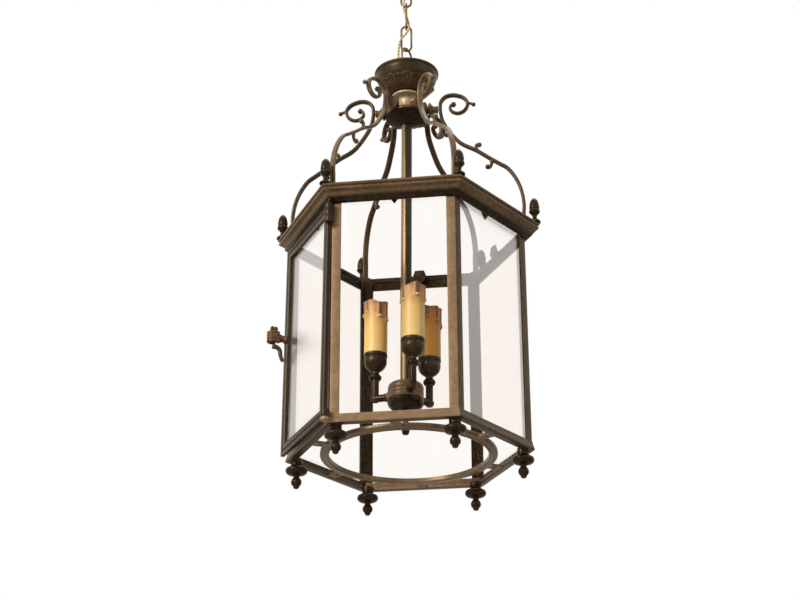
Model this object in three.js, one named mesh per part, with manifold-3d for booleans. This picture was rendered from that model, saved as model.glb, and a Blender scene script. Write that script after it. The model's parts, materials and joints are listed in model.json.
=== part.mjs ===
// Hexagonal hall lantern hung on a short chain, with a hinged glazed door, six scrolled arms and a
// cluster of three candle lights. Millimetres, +Z up, origin on the ceiling over the lantern's axis.
// Heights inside the lantern are measured from the tips of its six lowest drops.

import * as THREE from "three";
import { mergeVertices } from "three/addons/utils/BufferGeometryUtils.js";
import Module from "manifold-3d";

const wasm = await Module();
wasm.setup();

const deg = Math.PI / 180;
const cos30 = Math.cos(30 * deg);
const tan30 = Math.tan(30 * deg);

// Clearances
const seat = 0.3; // left between two pieces that touch
const boreSlack = 0.3; // added to a radius that a pin or tube passes through
const overlap = 0.5; // how far joined shapes run into each other

// Ceiling fitting
const strapLength = 60;
const strapWidth = 16;
const strapSheet = 2;
const screwSpacing = 44;
const screwHoleR = 2.25;
const roseR = 50;
const roseDepth = 32;
const roseSheet = 1.6;
const roseOutletR = 17; // how far from the axis the flex leaves the rose
const shankR = 3;
const shankNutR = 7;
const shankNutHeight = 5;
const shankNeck = 12; // straight shank between the nut and the hook's bend
const hookWire = 5;
const hookBend = 11.5; // radius of the bend's centre line

// Chain, flex and the loop that the lantern hangs by
const chainTurn = 8; // degrees that the first link's plane is turned from X
const linkWire = 2.7;
const linkLength = 38;
const linkWidth = 15;
const linkNames = ["chain_link_top", "chain_link_middle", "chain_link_bottom"];
const loopTurn = 58;
const loopWidth = 20;
const loopRise = 62.7; // from the loop's plate to the top of its bend
const loopPlateR = 12;
const loopPlateHeight = 4.1;
const loopShankR = 5;
const flexR = 1.5;
const flexBore = 2.2;

// Lantern body
const sideCount = 6;
const postFace = 119.1; // from the axis to the outer face of a post
const postLeg = 10;
const postSheet = 2.3;
const postLength = 258.9;
const paneSheet = 4;
const paneTopGap = 1.7; // room above a pane to lift it over the flange
const paneEndGap = 0.9;
const clipSheet = 1.9;
const clipBridgeWidth = 8;

// Base ring and its drops
const flangeZ = 31; // underside of the ring
const flangeSheet = 3;
const flangeReach = 4.9; // how far the flange comes in past the web
const webHeight = 10.5;
const webSheet = 2.8;
const webFlare = 2;
const dropIn = 10.5; // from the posts' corner in to a drop
const dropBossR = 6.5;
const dropBossZ = 26;

// Base circle
const circleR = 99;
const circleWidth = 10;
const circleHeight = 6;
const circleTabWidth = 11;
const circleTabHeight = 3;

// Cornice, acorns and arms
const ledgeSheet = 3.5;
const ledgeReach = 2.1; // how far the ledge comes in past the posts' faces
const riserOut = 6.9; // from the posts' faces out to the step up from the ledge
const corniceDrop = 9.8; // how far the moulding comes down past the ledge
const acornOut = 4.5; // from the corner of that step out to an acorn
const armFootIn = 7.7; // from the same corner in to an arm's foot
const armFootWidth = 12;
const armFootDepth = 6;
const armFootHeight = 4.2;
const armWidth = 7.2;
const armSheet = 4.7;

// Hub, bowl, collar and cup
const hubRise = 168.2; // from the ledge up to the axis of the spools
const hubR = 25.5;
const hubBelow = 7.4; // from the spools' axis down to the hub's plate and up to the top of its boss
const hubAbove = 3.3;
const hubPlate = 3.2;
const hubBossR = 8.5;
const lugCircle = 21.9;
const lugHeight = 17.7;
const lugDepthR = 3.9;
const lugWidthR = 4.5;
const lugLift = 1.5;
const spoolEndR = 38.25;
const spoolFlangeR = 9;
const spoolFlangeAt = 28.5;
const spoolWaistR = 3.85;
const bowlR = 26;
const bowlDepth = 12;
const fluteDepth = 0.06; // as a share of the bowl's radius
const fluteCount = 14;
const collarCoreR = 9.8;
const collarFlareR = 18.3;
const collarHeight = 25.2;
const cupRimR = 39.3;
const cupFootR = 19;
const cupHeight = 31.7;
const cupSheet = 2;
const cupFloor = 2.3;

// Stem and cluster
const stemR = 6.35;
const stemBoreR = 4.3;
const stemLean = 0.5; // degrees that the stem hangs off plumb
const stemSocket = 7; // how far the stem goes up into the hub
const stemInDrum = 12; // how far it goes down into the drum
const drumTopZ = 118;
const drumR = 20.4;
const drumHeight = 20;
const drumSheet = 1.6;
const capR = 21;
const capHeight = 13;
const capSheet = 1.6;
const nutR = 5.2;
const nutHeight = 27.5;
const nutStudR = 4;
const nutStudLength = 26;

// Candle arms, cups, sleeves and lampholders
const candleCircle = 36.5;
const candleAngles = [170, 290, 50];
const candleTubeR = 4.25;
const candleTubeDrop = 14; // from the drum's top down to the tubes' axis
const candleTubeIn = 14; // where a tube ends inside the drum, from the axis
const candleRingR = 7.2;
const candleRingHeight = 8;
const candleRingRise = 22; // from the tube's axis up to the ring
const candleArmRise = 32;
const ballR = 13.1;
const ballSheet = 1.4;
const ballNeckR = 5;
const cupLipR = 13.6;
const cupLipHeight = 4.7;
const nippleR = 2.7;
const sleeveR = 13.35;
const sleeveSheet = 1.85;
const sleeveHeight = 66;
const holderR = 9.5;
const holderTopGap = 10; // how far the lampholder's mouth is below the sleeve's top
const holderBodyHeight = 48;
const socketR = 7;
const socketDepth = 22;

// Door and latch
const doorStandOff = 6; // from the posts' faces out to the leaf's outer face, at mid height
const doorSheet = 4.5;
const doorStile = 12;
const doorRail = 12;
const doorHeadGap = 1.2; // between the leaf and the cornice above it
const doorFootGap = 0.5; // between the leaf and the ear below it
const doorHingeGap = 3.25; // from the hinge's axis to the leaf's near edge
const doorLatchGap = 6.2; // from the leaf's far edge to the next corner
const doorLean = 0.5; // degrees: the lower pivot stands further out than the upper one
const doorAjar = 1; // degrees that the door stands open
const doorGroove = 2.2;
const doorGrooveIn = 4.2;
const doorGrooveDepth = 1.2;
const rebateWidth = 1.5;
const rebateDepth = 2;
const pinR = 1.5;
const pinLength = 10;
const barrelR = 5;
const barrelHeight = 24;
const collarKnuckleR = 4.3;
const collarKnuckleHeight = 10;
const earHeight = 4;
const earLift = 0.5;
const latchRise = 13; // above the door's mid height
const cuffR = 4.35;
const cuffLength = 7.4;
const boltOut = 14.8;
const boltR = 1.9;
const boltTailR = 2.2;
const fistHeight = 13.5;
const fingerCount = 4;

// Materials

function metal(color, roughness, metalness = 0.85) {
  return new THREE.MeshStandardMaterial({ color, roughness, metalness, flatShading: true });
}

const bronze = metal(0x4a3b29, 0.45);
const paleBronze = metal(0x7d6748, 0.42);
const darkBronze = metal(0x2e261c, 0.5);
const brass = metal(0xcdb888, 0.3);
const goldThread = metal(0xb8965a, 0.6, 0.3);
const wax = metal(0xe3c27e, 0.55, 0);
const bakelite = metal(0x26211d, 0.4, 0);
const glass = new THREE.MeshStandardMaterial({
  color: 0xe8ece6,
  roughness: 0.05,
  metalness: 0,
  transparent: true,
  opacity: 0.3,
  flatShading: true,
});

// Shaping helpers

function signedVolume(geometry) {
  const position = geometry.attributes.position;
  const index = geometry.index.array;
  const a = new THREE.Vector3();
  const b = new THREE.Vector3();
  const c = new THREE.Vector3();
  let sum = 0;
  for (let i = 0; i < index.length; i += 3) {
    a.fromBufferAttribute(position, index[i]);
    b.fromBufferAttribute(position, index[i + 1]);
    c.fromBufferAttribute(position, index[i + 2]);
    sum += a.dot(b.cross(c));
  }
  return sum / 6;
}

// One closed body: shared vertices merged, no flat triangles, faces outward.
function closedBody(source) {
  const bare = source.clone();
  bare.deleteAttribute("normal");
  bare.deleteAttribute("uv");
  const geometry = mergeVertices(bare, 1e-4);
  const index = geometry.index.array;
  const kept = [];
  for (let i = 0; i < index.length; i += 3) {
    const [a, b, c] = [index[i], index[i + 1], index[i + 2]];
    if (a !== b && b !== c && c !== a) kept.push(a, b, c);
  }
  geometry.setIndex(kept);
  if (signedVolume(geometry) < 0) geometry.setIndex(kept.reverse());
  return geometry;
}

function toManifold(geometry) {
  const body = closedBody(geometry);
  return new wasm.Manifold(new wasm.Mesh({
    numProp: 3,
    vertProperties: new Float32Array(body.attributes.position.array),
    triVerts: new Uint32Array(body.index.array),
  }));
}

function fromManifold(manifold) {
  const mesh = manifold.getMesh();
  const geometry = new THREE.BufferGeometry();
  geometry.setAttribute("position", new THREE.BufferAttribute(mesh.vertProperties, 3));
  geometry.setIndex(new THREE.BufferAttribute(mesh.triVerts, 1));
  return geometry;
}

function join(first, ...others) {
  return fromManifold(others.reduce((sum, next) => sum.add(toManifold(next)), toManifold(first)));
}

function cut(first, ...tools) {
  return fromManifold(tools.reduce((rest, tool) => rest.subtract(toManifold(tool)), toManifold(first)));
}

// A turned shape about Z from [radius, height] points. A profile that leaves the axis closes on itself.
function turned(profile, segments = 24, startAngle = 0) {
  const points = profile.map(([r, z]) => new THREE.Vector2(r, z));
  const offAxis = profile[0][0] > 0;
  if (offAxis) points.push(points[0].clone());
  const lathe = new THREE.LatheGeometry(points, segments, startAngle * deg);
  return lathe.rotateX(90 * deg);
}

// A mitred six-sided frame from [distance of the side from the axis, height] points.
function hexFrame(profile) {
  const cornerProfile = profile.map(([distance, z]) => [distance / cos30, z]);
  return turned(cornerProfile, sideCount, 30);
}

function rod(radius, fromZ, toZ, segments = 12) {
  return turned([[0, fromZ], [radius, fromZ], [radius, toZ], [0, toZ]], segments);
}

function block(sizeX, sizeY, sizeZ, x, y, z) {
  return new THREE.BoxGeometry(sizeX, sizeY, sizeZ).translate(x, y, z);
}

function egg(radiusX, radiusY, radiusZ, x, y, z, around = 8, down = 6) {
  return new THREE.SphereGeometry(1, around, down)
    .rotateX(90 * deg)
    .scale(radiusX, radiusY, radiusZ)
    .translate(x, y, z);
}

// A flat plate whose outline is [across, up] points, its thickness along +Y from y = 0.
function plate(outline, thickness) {
  const shape = new THREE.Shape(outline.map(([x, y]) => new THREE.Vector2(x, y)));
  return new THREE.ExtrudeGeometry(shape, { depth: thickness, bevelEnabled: false })
    .rotateX(90 * deg)
    .translate(0, thickness, 0);
}

function ringShape(low, high, innerLow, innerHigh) {
  const shape = new THREE.Shape();
  shape.moveTo(low.x, low.y).lineTo(high.x, low.y).lineTo(high.x, high.y).lineTo(low.x, high.y);
  shape.closePath();
  const hole = new THREE.Path();
  hole.moveTo(innerLow.x, innerLow.y).lineTo(innerHigh.x, innerLow.y);
  hole.lineTo(innerHigh.x, innerHigh.y).lineTo(innerLow.x, innerHigh.y);
  hole.closePath();
  shape.holes.push(hole);
  return shape;
}

// A curve drawn in the XZ plane by a two-dimensional path.
class UprightCurve extends THREE.Curve {
  constructor(path) {
    super();
    this.path = path;
  }

  getPoint(t, target = new THREE.Vector3()) {
    const point = this.path.getPoint(t);
    return target.set(point.x, 0, point.y);
  }
}

// Part of a curve, between two shares of its length.
class Stretch extends THREE.Curve {
  constructor(curve, from, to) {
    super();
    this.curve = curve;
    this.from = from;
    this.to = to;
  }

  getPoint(t, target = new THREE.Vector3()) {
    return this.curve.getPointAt(THREE.MathUtils.lerp(this.from, this.to, t), target);
  }
}

function roundSection(radius, sides) {
  const points = [];
  for (let i = 0; i < sides; i += 1) {
    const angle = ((i + 0.5) / sides) * 360 * deg;
    points.push(new THREE.Vector2(radius * Math.cos(angle), radius * Math.sin(angle)));
  }
  return new THREE.Shape(points);
}

function sweep(curve, section, steps) {
  return new THREE.ExtrudeGeometry(section, { steps, extrudePath: curve });
}

function smooth(points) {
  return new THREE.CatmullRomCurve3(points.map(([x, y, z]) => new THREE.Vector3(x, y, z)));
}

// The share of a falling curve's length at which it passes a height.
function shareAtHeight(curve, height) {
  let low = 0;
  let high = 1;
  for (let i = 0; i < 30; i += 1) {
    const middle = (low + high) / 2;
    if (curve.getPointAt(middle).z > height) low = middle;
    else high = middle;
  }
  return low;
}

function piece(name, geometry, material, parent) {
  const mesh = new THREE.Mesh(closedBody(geometry), material);
  mesh.name = name;
  parent.add(mesh);
  return mesh;
}

function turnedGroup(parent, degrees) {
  const group = new THREE.Group();
  group.rotation.z = degrees * deg;
  parent.add(group);
  return group;
}

// Heights in the lantern, upward from the drops' tips

const flangeTopZ = flangeZ + flangeSheet;
const webTopZ = flangeZ + webHeight;
const ledgeZ = webTopZ + seat + postLength + seat; // underside of the cornice's ledge
const ledgeTopZ = ledgeZ + ledgeSheet;
const corniceTopZ = ledgeZ + 10;
const spoolZ = ledgeTopZ + hubRise;
const hubBottomZ = spoolZ - hubBelow;
const hubPlateTopZ = hubBottomZ + hubPlate;
const hubTopZ = spoolZ + hubAbove;
const bowlTopZ = hubBottomZ - seat;
const collarZ = hubPlateTopZ + seat;
const collarTopZ = collarZ + collarHeight;
const cupZ = collarTopZ + seat;
const platePlaneZ = cupZ + cupFloor + seat;
const plateTopZ = platePlaneZ + loopPlateHeight;
const loopTopZ = plateTopZ + loopRise;
const stemTopZ = hubBottomZ + stemSocket;
const stemFootZ = drumTopZ - stemInDrum;
const candleTubeZ = drumTopZ - candleTubeDrop;

// Heights under the ceiling, downward

const hookNutTopZ = -roseDepth - seat;
const bendTopZ = hookNutTopZ - shankNutHeight - shankNeck;
const hookBarZ = bendTopZ - 2 * hookBend;
const linkPitch = linkLength - 2 * linkWire - seat;
const firstLinkTopZ = hookBarZ + hookWire / 2 + seat + linkWire;
const lastLinkFootZ = firstLinkTopZ - (linkNames.length - 1) * linkPitch - linkLength;
const lanternZ = lastLinkFootZ + 2 * linkWire + seat - loopTopZ;

// Distances of a side's layers from the axis

const paneOuter = postFace - postSheet - seat;
const paneInner = paneOuter - paneSheet;
const clipOuter = paneInner - seat;
const webInner = postFace - postSheet;
const paneHalfWidth = paneInner * tan30 - paneEndGap;
const paneFootZ = flangeTopZ + seat;
const paneTopZ = ledgeZ - seat - paneTopGap;

const lamp = new THREE.Group();
const chain = turnedGroup(lamp, chainTurn);
const lantern = new THREE.Group();
lantern.position.z = lanternZ;
lamp.add(lantern);

// Ceiling fitting: a screwed strap with a hooked shank, and a spun rose held up by the shank's nut

function ceilingRose() {
  const bottom = -roseDepth;
  const centreR = shankR + boreSlack;
  const shell = turned([
    [roseR, 0],
    [roseR, -2],
    [roseR * 0.93, bottom * 0.35],
    [roseR * 0.76, bottom * 0.66],
    [roseR * 0.46, bottom * 0.91],
    [centreR + 4, bottom],
    [centreR, bottom],
    [centreR, bottom + roseSheet],
    [centreR + 4, bottom + roseSheet],
    [roseR * 0.46 - roseSheet * 0.4, bottom * 0.91 + roseSheet],
    [roseR * 0.76 - roseSheet * 0.8, bottom * 0.66 + roseSheet],
    [roseR * 0.93 - roseSheet, bottom * 0.35 + roseSheet * 0.5],
    [roseR - roseSheet, 0],
  ], 20);
  const outlet = rod(flexR + boreSlack + 0.4, bottom - 1, 0, 8).translate(roseOutletR, 0, 0);
  return cut(shell, outlet);
}

function ceilingHook() {
  const strap = block(strapLength, strapWidth, strapSheet, 0, 0, -strapSheet / 2);
  const holes = [-1, 1].map((side) =>
    rod(screwHoleR, -strapSheet - 1, 1, 8).translate((side * screwSpacing) / 2, 0, 0));
  const drilled = cut(strap, ...holes);
  const shank = rod(shankR, bendTopZ - overlap, -overlap, 8);
  const nutFootZ = hookNutTopZ - shankNutHeight;
  const nut = turned([
    [0, hookNutTopZ],
    [shankNutR, hookNutTopZ],
    [shankNutR, nutFootZ + 1.5],
    [shankNutR - 2, nutFootZ],
    [0, nutFootZ],
  ], 12);
  const centreZ = hookBarZ + hookBend;
  const around = (angle) => [
    hookBend * Math.sin(angle * deg),
    0,
    centreZ - hookBend * Math.cos(angle * deg),
  ];
  const bend = sweep(smooth([
    [0, 0, bendTopZ + 4],
    [-1.5, 0, bendTopZ - 0.5],
    [-hookBend * 0.62, 0, centreZ + hookBend * 0.62],
    around(-80),
    around(-45),
    around(0),
    around(45),
    around(90),
    around(115),
  ]), roundSection(hookWire / 2, 8), 20);
  return join(drilled, shank, nut, bend);
}

piece("ceiling_rose", ceilingRose(), paleBronze, chain);
piece("ceiling_hook", ceilingHook(), darkBronze, turnedGroup(chain, 90));

// Chain of oval wire links, each turned a quarter from the one above

// An oval with half-round ends, in steps that are even round each end and single along each side.
class OvalCurve extends THREE.Curve {
  constructor(endR, halfStraight, endSteps) {
    super();
    this.stations = [];
    for (const end of [-1, 1]) {
      for (let i = 0; i <= endSteps; i += 1) {
        const angle = ((end < 0 ? 180 : 0) + (180 * i) / endSteps) * deg;
        const x = endR * Math.cos(angle);
        const z = end * halfStraight + endR * Math.sin(angle);
        this.stations.push({ x, z, angle });
      }
    }
  }

  station(share) {
    return this.stations[Math.round(share * this.stations.length) % this.stations.length];
  }

  getPointAt(share, target = new THREE.Vector3()) {
    const { x, z } = this.station(share);
    return target.set(x, 0, z);
  }

  getTangentAt(share, target = new THREE.Vector3()) {
    const { angle } = this.station(share);
    return target.set(-Math.sin(angle), 0, Math.cos(angle));
  }
}

linkNames.forEach((name, i) => {
  const oval = new OvalCurve((linkWidth - linkWire) / 2, (linkLength - linkWidth) / 2, 6);
  const link = new THREE.TubeGeometry(oval, oval.stations.length, linkWire / 2, 8, true);
  const mesh = piece(name, link, bronze, turnedGroup(chain, i % 2 === 0 ? 0 : 90));
  mesh.position.z = firstLinkTopZ - linkLength / 2 - i * linkPitch;
});

// Loop on a plate in the cup, with a hollow shank down into the collar

function topLoop() {
  const bendR = (loopWidth - linkWire) / 2;
  const bendZ = loopTopZ - loopWidth / 2;
  const path = new THREE.Path();
  path.absarc(0, bendZ, bendR, 180 * deg, 0, true);
  const bend = sweep(new UprightCurve(path), roundSection(linkWire / 2, 8), 10);
  const legs = [-1, 1].map((side) =>
    rod(linkWire / 2, plateTopZ - overlap, bendZ + overlap, 8).translate(side * bendR, 0, 0));
  const foot = turned([
    [flexBore, plateTopZ],
    [loopPlateR - 1, plateTopZ],
    [loopPlateR, plateTopZ - 1],
    [loopPlateR, platePlaneZ],
    [loopShankR, platePlaneZ],
    [loopShankR, hubTopZ + 2 * seat],
    [flexBore, hubTopZ + 2 * seat],
  ], 12);
  return join(foot, bend, ...legs);
}

piece("top_loop", topLoop(), paleBronze, turnedGroup(lantern, loopTurn));

// Cup, collar, hub and bowl, each seated on the one below

function topCup() {
  const holeR = loopShankR + boreSlack;
  const topZ = cupZ + cupHeight;
  return turned([
    [holeR, cupZ],
    [cupFootR, cupZ],
    [cupRimR * 0.64, cupZ + cupHeight * 0.15],
    [cupRimR * 0.77, cupZ + cupHeight * 0.34],
    [cupRimR * 0.87, cupZ + cupHeight * 0.555],
    [cupRimR * 0.93, cupZ + cupHeight * 0.75],
    [cupRimR * 0.965, cupZ + cupHeight * 0.89],
    [cupRimR, topZ - 1.4],
    [cupRimR - 0.3, topZ],
    [cupRimR - cupSheet, topZ],
    [cupRimR * 0.965 - cupSheet, topZ - 3],
    [cupRimR * 0.87 - cupSheet, cupZ + cupHeight * 0.57],
    [cupRimR * 0.77 - cupSheet, cupZ + cupHeight * 0.37],
    [cupRimR * 0.64 - cupSheet, cupZ + cupHeight * 0.2],
    [cupFootR - cupSheet, cupZ + cupFloor],
    [holeR, cupZ + cupFloor],
  ], 20);
}

function collar() {
  const boreR = loopShankR + boreSlack;
  const bossHoleR = hubBossR + boreSlack;
  const bossHoleTopZ = hubTopZ + seat;
  return turned([
    [bossHoleR, collarZ],
    [collarCoreR + 0.9, collarZ],
    [collarCoreR + 0.9, collarZ + 2],
    [collarCoreR, collarZ + 3.5],
    [collarCoreR, collarTopZ - 7],
    [collarCoreR + 1.7, collarTopZ - 5],
    [collarFlareR - 2.3, collarTopZ - 3.4],
    [collarFlareR, collarTopZ - 2.6],
    [collarFlareR, collarTopZ - 0.8],
    [collarFlareR - 0.8, collarTopZ],
    [boreR, collarTopZ],
    [boreR, bossHoleTopZ],
    [bossHoleR, bossHoleTopZ],
  ], 16);
}

function spool() {
  const flange = spoolFlangeAt;
  return turned([
    [0, lugCircle],
    [spoolWaistR + 0.6, lugCircle],
    [spoolWaistR + 0.6, flange - 1.9],
    [spoolFlangeR, flange - 1],
    [spoolFlangeR, flange + 1],
    [spoolWaistR + 1.6, flange + 3.6],
    [spoolWaistR, spoolEndR - 3],
    [spoolWaistR, spoolEndR],
    [0, spoolEndR],
  ], 8).rotateY(90 * deg).translate(0, 0, spoolZ);
}

function armHub() {
  const stemSocketR = stemR + boreSlack;
  const socketTopZ = stemTopZ + seat;
  const body = turned([
    [stemSocketR, hubBottomZ],
    [hubR, hubBottomZ],
    [hubR, hubPlateTopZ],
    [hubBossR, hubPlateTopZ],
    [hubBossR, hubTopZ],
    [flexBore, hubTopZ],
    [flexBore, socketTopZ],
    [stemSocketR, socketTopZ],
  ], 18);
  const lugZ = hubBottomZ + lugLift + lugHeight / 2;
  const lug = egg(lugDepthR, lugWidthR, lugHeight / 2, lugCircle, 0, lugZ, 8, 6);
  const parts = [];
  for (let i = 0; i < sideCount; i += 1) {
    const angle = i * 60 * deg;
    parts.push(lug.clone().rotateZ(angle), spool().rotateZ(angle));
  }
  return join(body, ...parts);
}

function flutedBowl() {
  const boreR = stemR + boreSlack;
  const outline = [[1, 0], [1, 0.1], [0.96, 0.24], [0.83, 0.41], [0.66, 0.6], [0.47, 0.8], [0.33, 1]];
  const profile = outline.map(([r, drop]) => [bowlR * r, bowlTopZ - bowlDepth * drop]);
  profile.push([boreR, bowlTopZ - bowlDepth], [boreR, bowlTopZ]);
  const bowl = turned(profile, fluteCount * 2);
  const position = bowl.attributes.position;
  for (let i = 0; i < position.count; i += 1) {
    const [x, y] = [position.getX(i), position.getY(i)];
    const segment = Math.round((Math.atan2(y, x) / (360 * deg)) * fluteCount * 2);
    const onFlute = segment % 2 !== 0 && Math.hypot(x, y) > boreR + 1;
    const share = onFlute ? 1 - fluteDepth : 1;
    position.setXY(i, x * share, y * share);
  }
  return bowl;
}

piece("top_cup", topCup(), darkBronze, lantern);
piece("collar", collar(), brass, lantern);
piece("arm_hub", armHub(), bronze, lantern);
piece("fluted_bowl", flutedBowl(), darkBronze, lantern);

// Scrolled arms, drawn once in the XZ plane and set round the six corners

const ledgeCornerR = (postFace + riserOut) / cos30;
const acornCircle = ledgeCornerR + acornOut;
const armFootR = ledgeCornerR - armFootIn;
const armFootTopZ = ledgeTopZ + seat + armFootHeight;
const armTopR = spoolEndR + seat + armSheet / 2; // where the arm stands against its spool
const spoolSide = [armTopR, 0, spoolZ];

// A place on or near the strap, from shares of the way out from the hub and up from the foot.
function onStrap([outShare, upShare]) {
  const out = armTopR + (armFootR - armTopR) * outShare;
  return [out, 0, armFootTopZ + (spoolZ - armFootTopZ) * upShare];
}

const lowerRoot = [0.607, 0.559];
const upperRoot = [0.446, 0.631];

function armStrap() {
  const half = armWidth / 2;
  const thin = armSheet / 2;
  const section = new THREE.Shape([
    new THREE.Vector2(half, 0),
    new THREE.Vector2(half * 0.62, thin),
    new THREE.Vector2(-half * 0.62, thin),
    new THREE.Vector2(-half, 0),
    new THREE.Vector2(-half * 0.62, -thin),
    new THREE.Vector2(half * 0.62, -thin),
  ]);
  const rising = [
    [1, 0.11],
    [1.005, 0.153],
    [0.994, 0.232],
    [0.964, 0.312],
    [0.908, 0.391],
    [0.818, 0.469],
    [0.728, 0.508],
    lowerRoot,
    upperRoot,
    [0.253, 0.701],
    [0.14, 0.781],
    [0.034, 0.892],
    [0.006, 0.963],
  ];
  const scroll = [
    [0, 2],
    [1, 10],
    [6.2, 16.4],
    [13.6, 18.5],
    [21.6, 17.3],
    [29.4, 13],
    [33.4, 6],
    [31.6, -1.2],
    [26.8, -5.9],
    [20.4, -7.2],
    [14.8, -4.6],
    [12, 0.2],
    [13.4, 4.8],
  ];
  const points = [
    [armFootR, 0, armFootTopZ - overlap],
    ...rising.map(onStrap),
    ...scroll.map(([out, up]) => [armTopR + out, 0, spoolZ + up]),
  ];
  return sweep(smooth(points), section, 38);
}

// A short hooked tendril ending in a ball, from [out, up] points about its root.
function tendril([rootX, , rootZ], points, ballAt, radius, ballRadius) {
  const place = ([out, up]) => [rootX + out, 0, rootZ + up];
  const curl = sweep(smooth(points.map(place)), roundSection(radius, 4), 4);
  const [x, , z] = place(ballAt);
  return [curl, egg(ballRadius, ballRadius, ballRadius, x, 0, z, 5, 3)];
}

function scrollArm() {
  const footZ = armFootTopZ - armFootHeight / 2;
  const foot = block(armFootDepth, armFootWidth, armFootHeight, armFootR, 0, footZ);
  return join(
    armStrap(),
    foot,
    egg(3.2, 3.6, 3.2, armTopR + 16.4, 0, spoolZ + 5.6, 6, 4),
    ...tendril(spoolSide, [[32.6, 6.4], [36.2, 5.6], [40.2, 3.9]], [40.6, 3.7], 1.9, 2.7),
    ...tendril(onStrap(upperRoot), [[0.6, -0.2], [-0.6, 4.4], [-0.2, 7.6], [3, 9.4]], [3.2, 7.8], 2, 3),
    ...tendril(onStrap(lowerRoot), [[1.2, -1.2], [1.8, -6.8], [-0.4, -11.8], [-3.6, -12.8]], [-3, -11], 2, 3),
  );
}

for (let i = 0; i < sideCount; i += 1) {
  piece(`scroll_arm_${i + 1}`, scrollArm(), paleBronze, turnedGroup(lantern, i * 60));
}

// The door's pivot line, shared by the leaf, the cornice's pin and the base ring's ear

const hingeCorner = 240;
const doorFace = postFace + doorStandOff;
const hingeR = doorFace / cos30;
const doorWidth = 2 * doorFace * tan30 - doorHingeGap - doorLatchGap;
const earTopZ = flangeZ + earHeight + earLift;
const doorFootZ = earTopZ + doorFootGap;
const doorHeight = ledgeZ - corniceDrop - doorHeadGap - doorFootZ;
const doorMidZ = doorFootZ + doorHeight / 2;
const pivotPlace = new THREE.Matrix4()
  .makeTranslation(hingeR * Math.cos(hingeCorner * deg), hingeR * Math.sin(hingeCorner * deg), doorMidZ)
  .multiply(new THREE.Matrix4().makeRotationZ((hingeCorner - 120) * deg))
  .multiply(new THREE.Matrix4().makeRotationX(doorLean * deg));

// Cornice with its ledge, six glass clips and the door's upper pin

function cornice() {
  const outline = [
    [-ledgeReach, 0],
    [seat + 0.1, 0],
    [seat + 0.1, -corniceDrop],
    [1.7, -corniceDrop],
    [3.9, -9],
    [8.1, -5.4],
    [8.3, -3.8],
    [7.5, -3],
    [8.5, -2.4],
    [9.9, -0.8],
    [12.1, 1.2],
    [13.7, 1.6],
    [14.7, 3.6],
    [12.9, 5.4],
    [14.1, 6.2],
    [15.7, 8.2],
    [14.1, corniceTopZ - ledgeZ],
    [riserOut, corniceTopZ - ledgeZ],
    [riserOut, ledgeSheet],
    [-ledgeReach, ledgeSheet],
  ];
  const frame = hexFrame(outline.map(([out, up]) => [postFace + out, ledgeZ + up]));
  const clipInner = clipOuter - clipSheet;
  const leaf = plate([
    [0, ledgeZ - 10],
    [5.5, ledgeZ - 2.5],
    [8.5, ledgeZ + 2],
    [5.5, ledgeZ + 10],
    [-5.5, ledgeZ + 10],
    [-8.5, ledgeZ + 2],
    [-5.5, ledgeZ - 2.5],
  ], clipSheet).translate(0, -clipOuter, 0);
  const bridgeEnd = postFace - ledgeReach + overlap;
  const bridgeLength = bridgeEnd - clipInner - overlap;
  const bridge = block(
    clipBridgeWidth,
    bridgeLength,
    ledgeSheet - 0.4,
    0,
    -bridgeEnd + bridgeLength / 2,
    ledgeZ + ledgeSheet / 2,
  );
  const clips = [];
  for (let i = 0; i < sideCount; i += 1) {
    clips.push(leaf.clone().rotateZ(i * 60 * deg), bridge.clone().rotateZ(i * 60 * deg));
  }
  const pinFoot = doorHeight / 2 - pinLength;
  const pin = rod(pinR, pinFoot, doorHeight / 2 + 6, 8).applyMatrix4(pivotPlace);
  return join(frame, ...clips, pin);
}

// Base ring with its corner bosses, turned drops, and the ear and pin under the door

function baseRing() {
  const dropCircle = postFace / cos30 - dropIn;
  const flangeInner = webInner - flangeReach;
  const frame = hexFrame([
    [flangeInner, flangeZ],
    [webInner + webSheet + webFlare - 0.6, flangeZ],
    [webInner + webSheet + webFlare, flangeZ + 1.5],
    [webInner + webSheet, webTopZ],
    [webInner, webTopZ],
    [webInner, flangeTopZ],
    [flangeInner, flangeTopZ],
  ]);
  const drop = turned([
    [0, 0],
    [2.5, 0],
    [4.4, 3],
    [6, 7.5],
    [3.5, 13.5],
    [9.5, 16.6],
    [12.3, 19.4],
    [12.5, 21.3],
    [11.6, 23.2],
    [8, 24.6],
    [4.4, 25.4],
    [4.4, dropBossZ + overlap],
    [0, dropBossZ + overlap],
  ], 8).translate(dropCircle, 0, 0);
  const boss = rod(dropBossR, dropBossZ, flangeTopZ, 8).translate(dropCircle, 0, 0);
  const corners = [];
  for (let i = 0; i < sideCount; i += 1) {
    corners.push(drop.clone().rotateZ(i * 60 * deg), boss.clone().rotateZ(i * 60 * deg));
  }
  const earFootZ = earTopZ - earHeight;
  const pinPoint = new THREE.Vector3(0, 0, earTopZ - doorMidZ).applyMatrix4(pivotPlace);
  const earStart = webInner / cos30 + overlap;
  const earLength = hingeR - earStart;
  const earArm = block(earLength, 2 * barrelR - 1, earHeight, 0, 0, 0)
    .translate(earStart + earLength / 2, 0, earFootZ + earHeight / 2)
    .rotateZ(hingeCorner * deg);
  const earEye = rod(barrelR, earFootZ, earTopZ, 10).translate(pinPoint.x, pinPoint.y, 0);
  const pinFootZ = -doorHeight / 2 - doorFootGap;
  const pin = rod(pinR, pinFootZ - 2, pinFootZ + pinLength, 8).applyMatrix4(pivotPlace);
  return join(frame, ...corners, earArm, earEye, pin);
}

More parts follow.
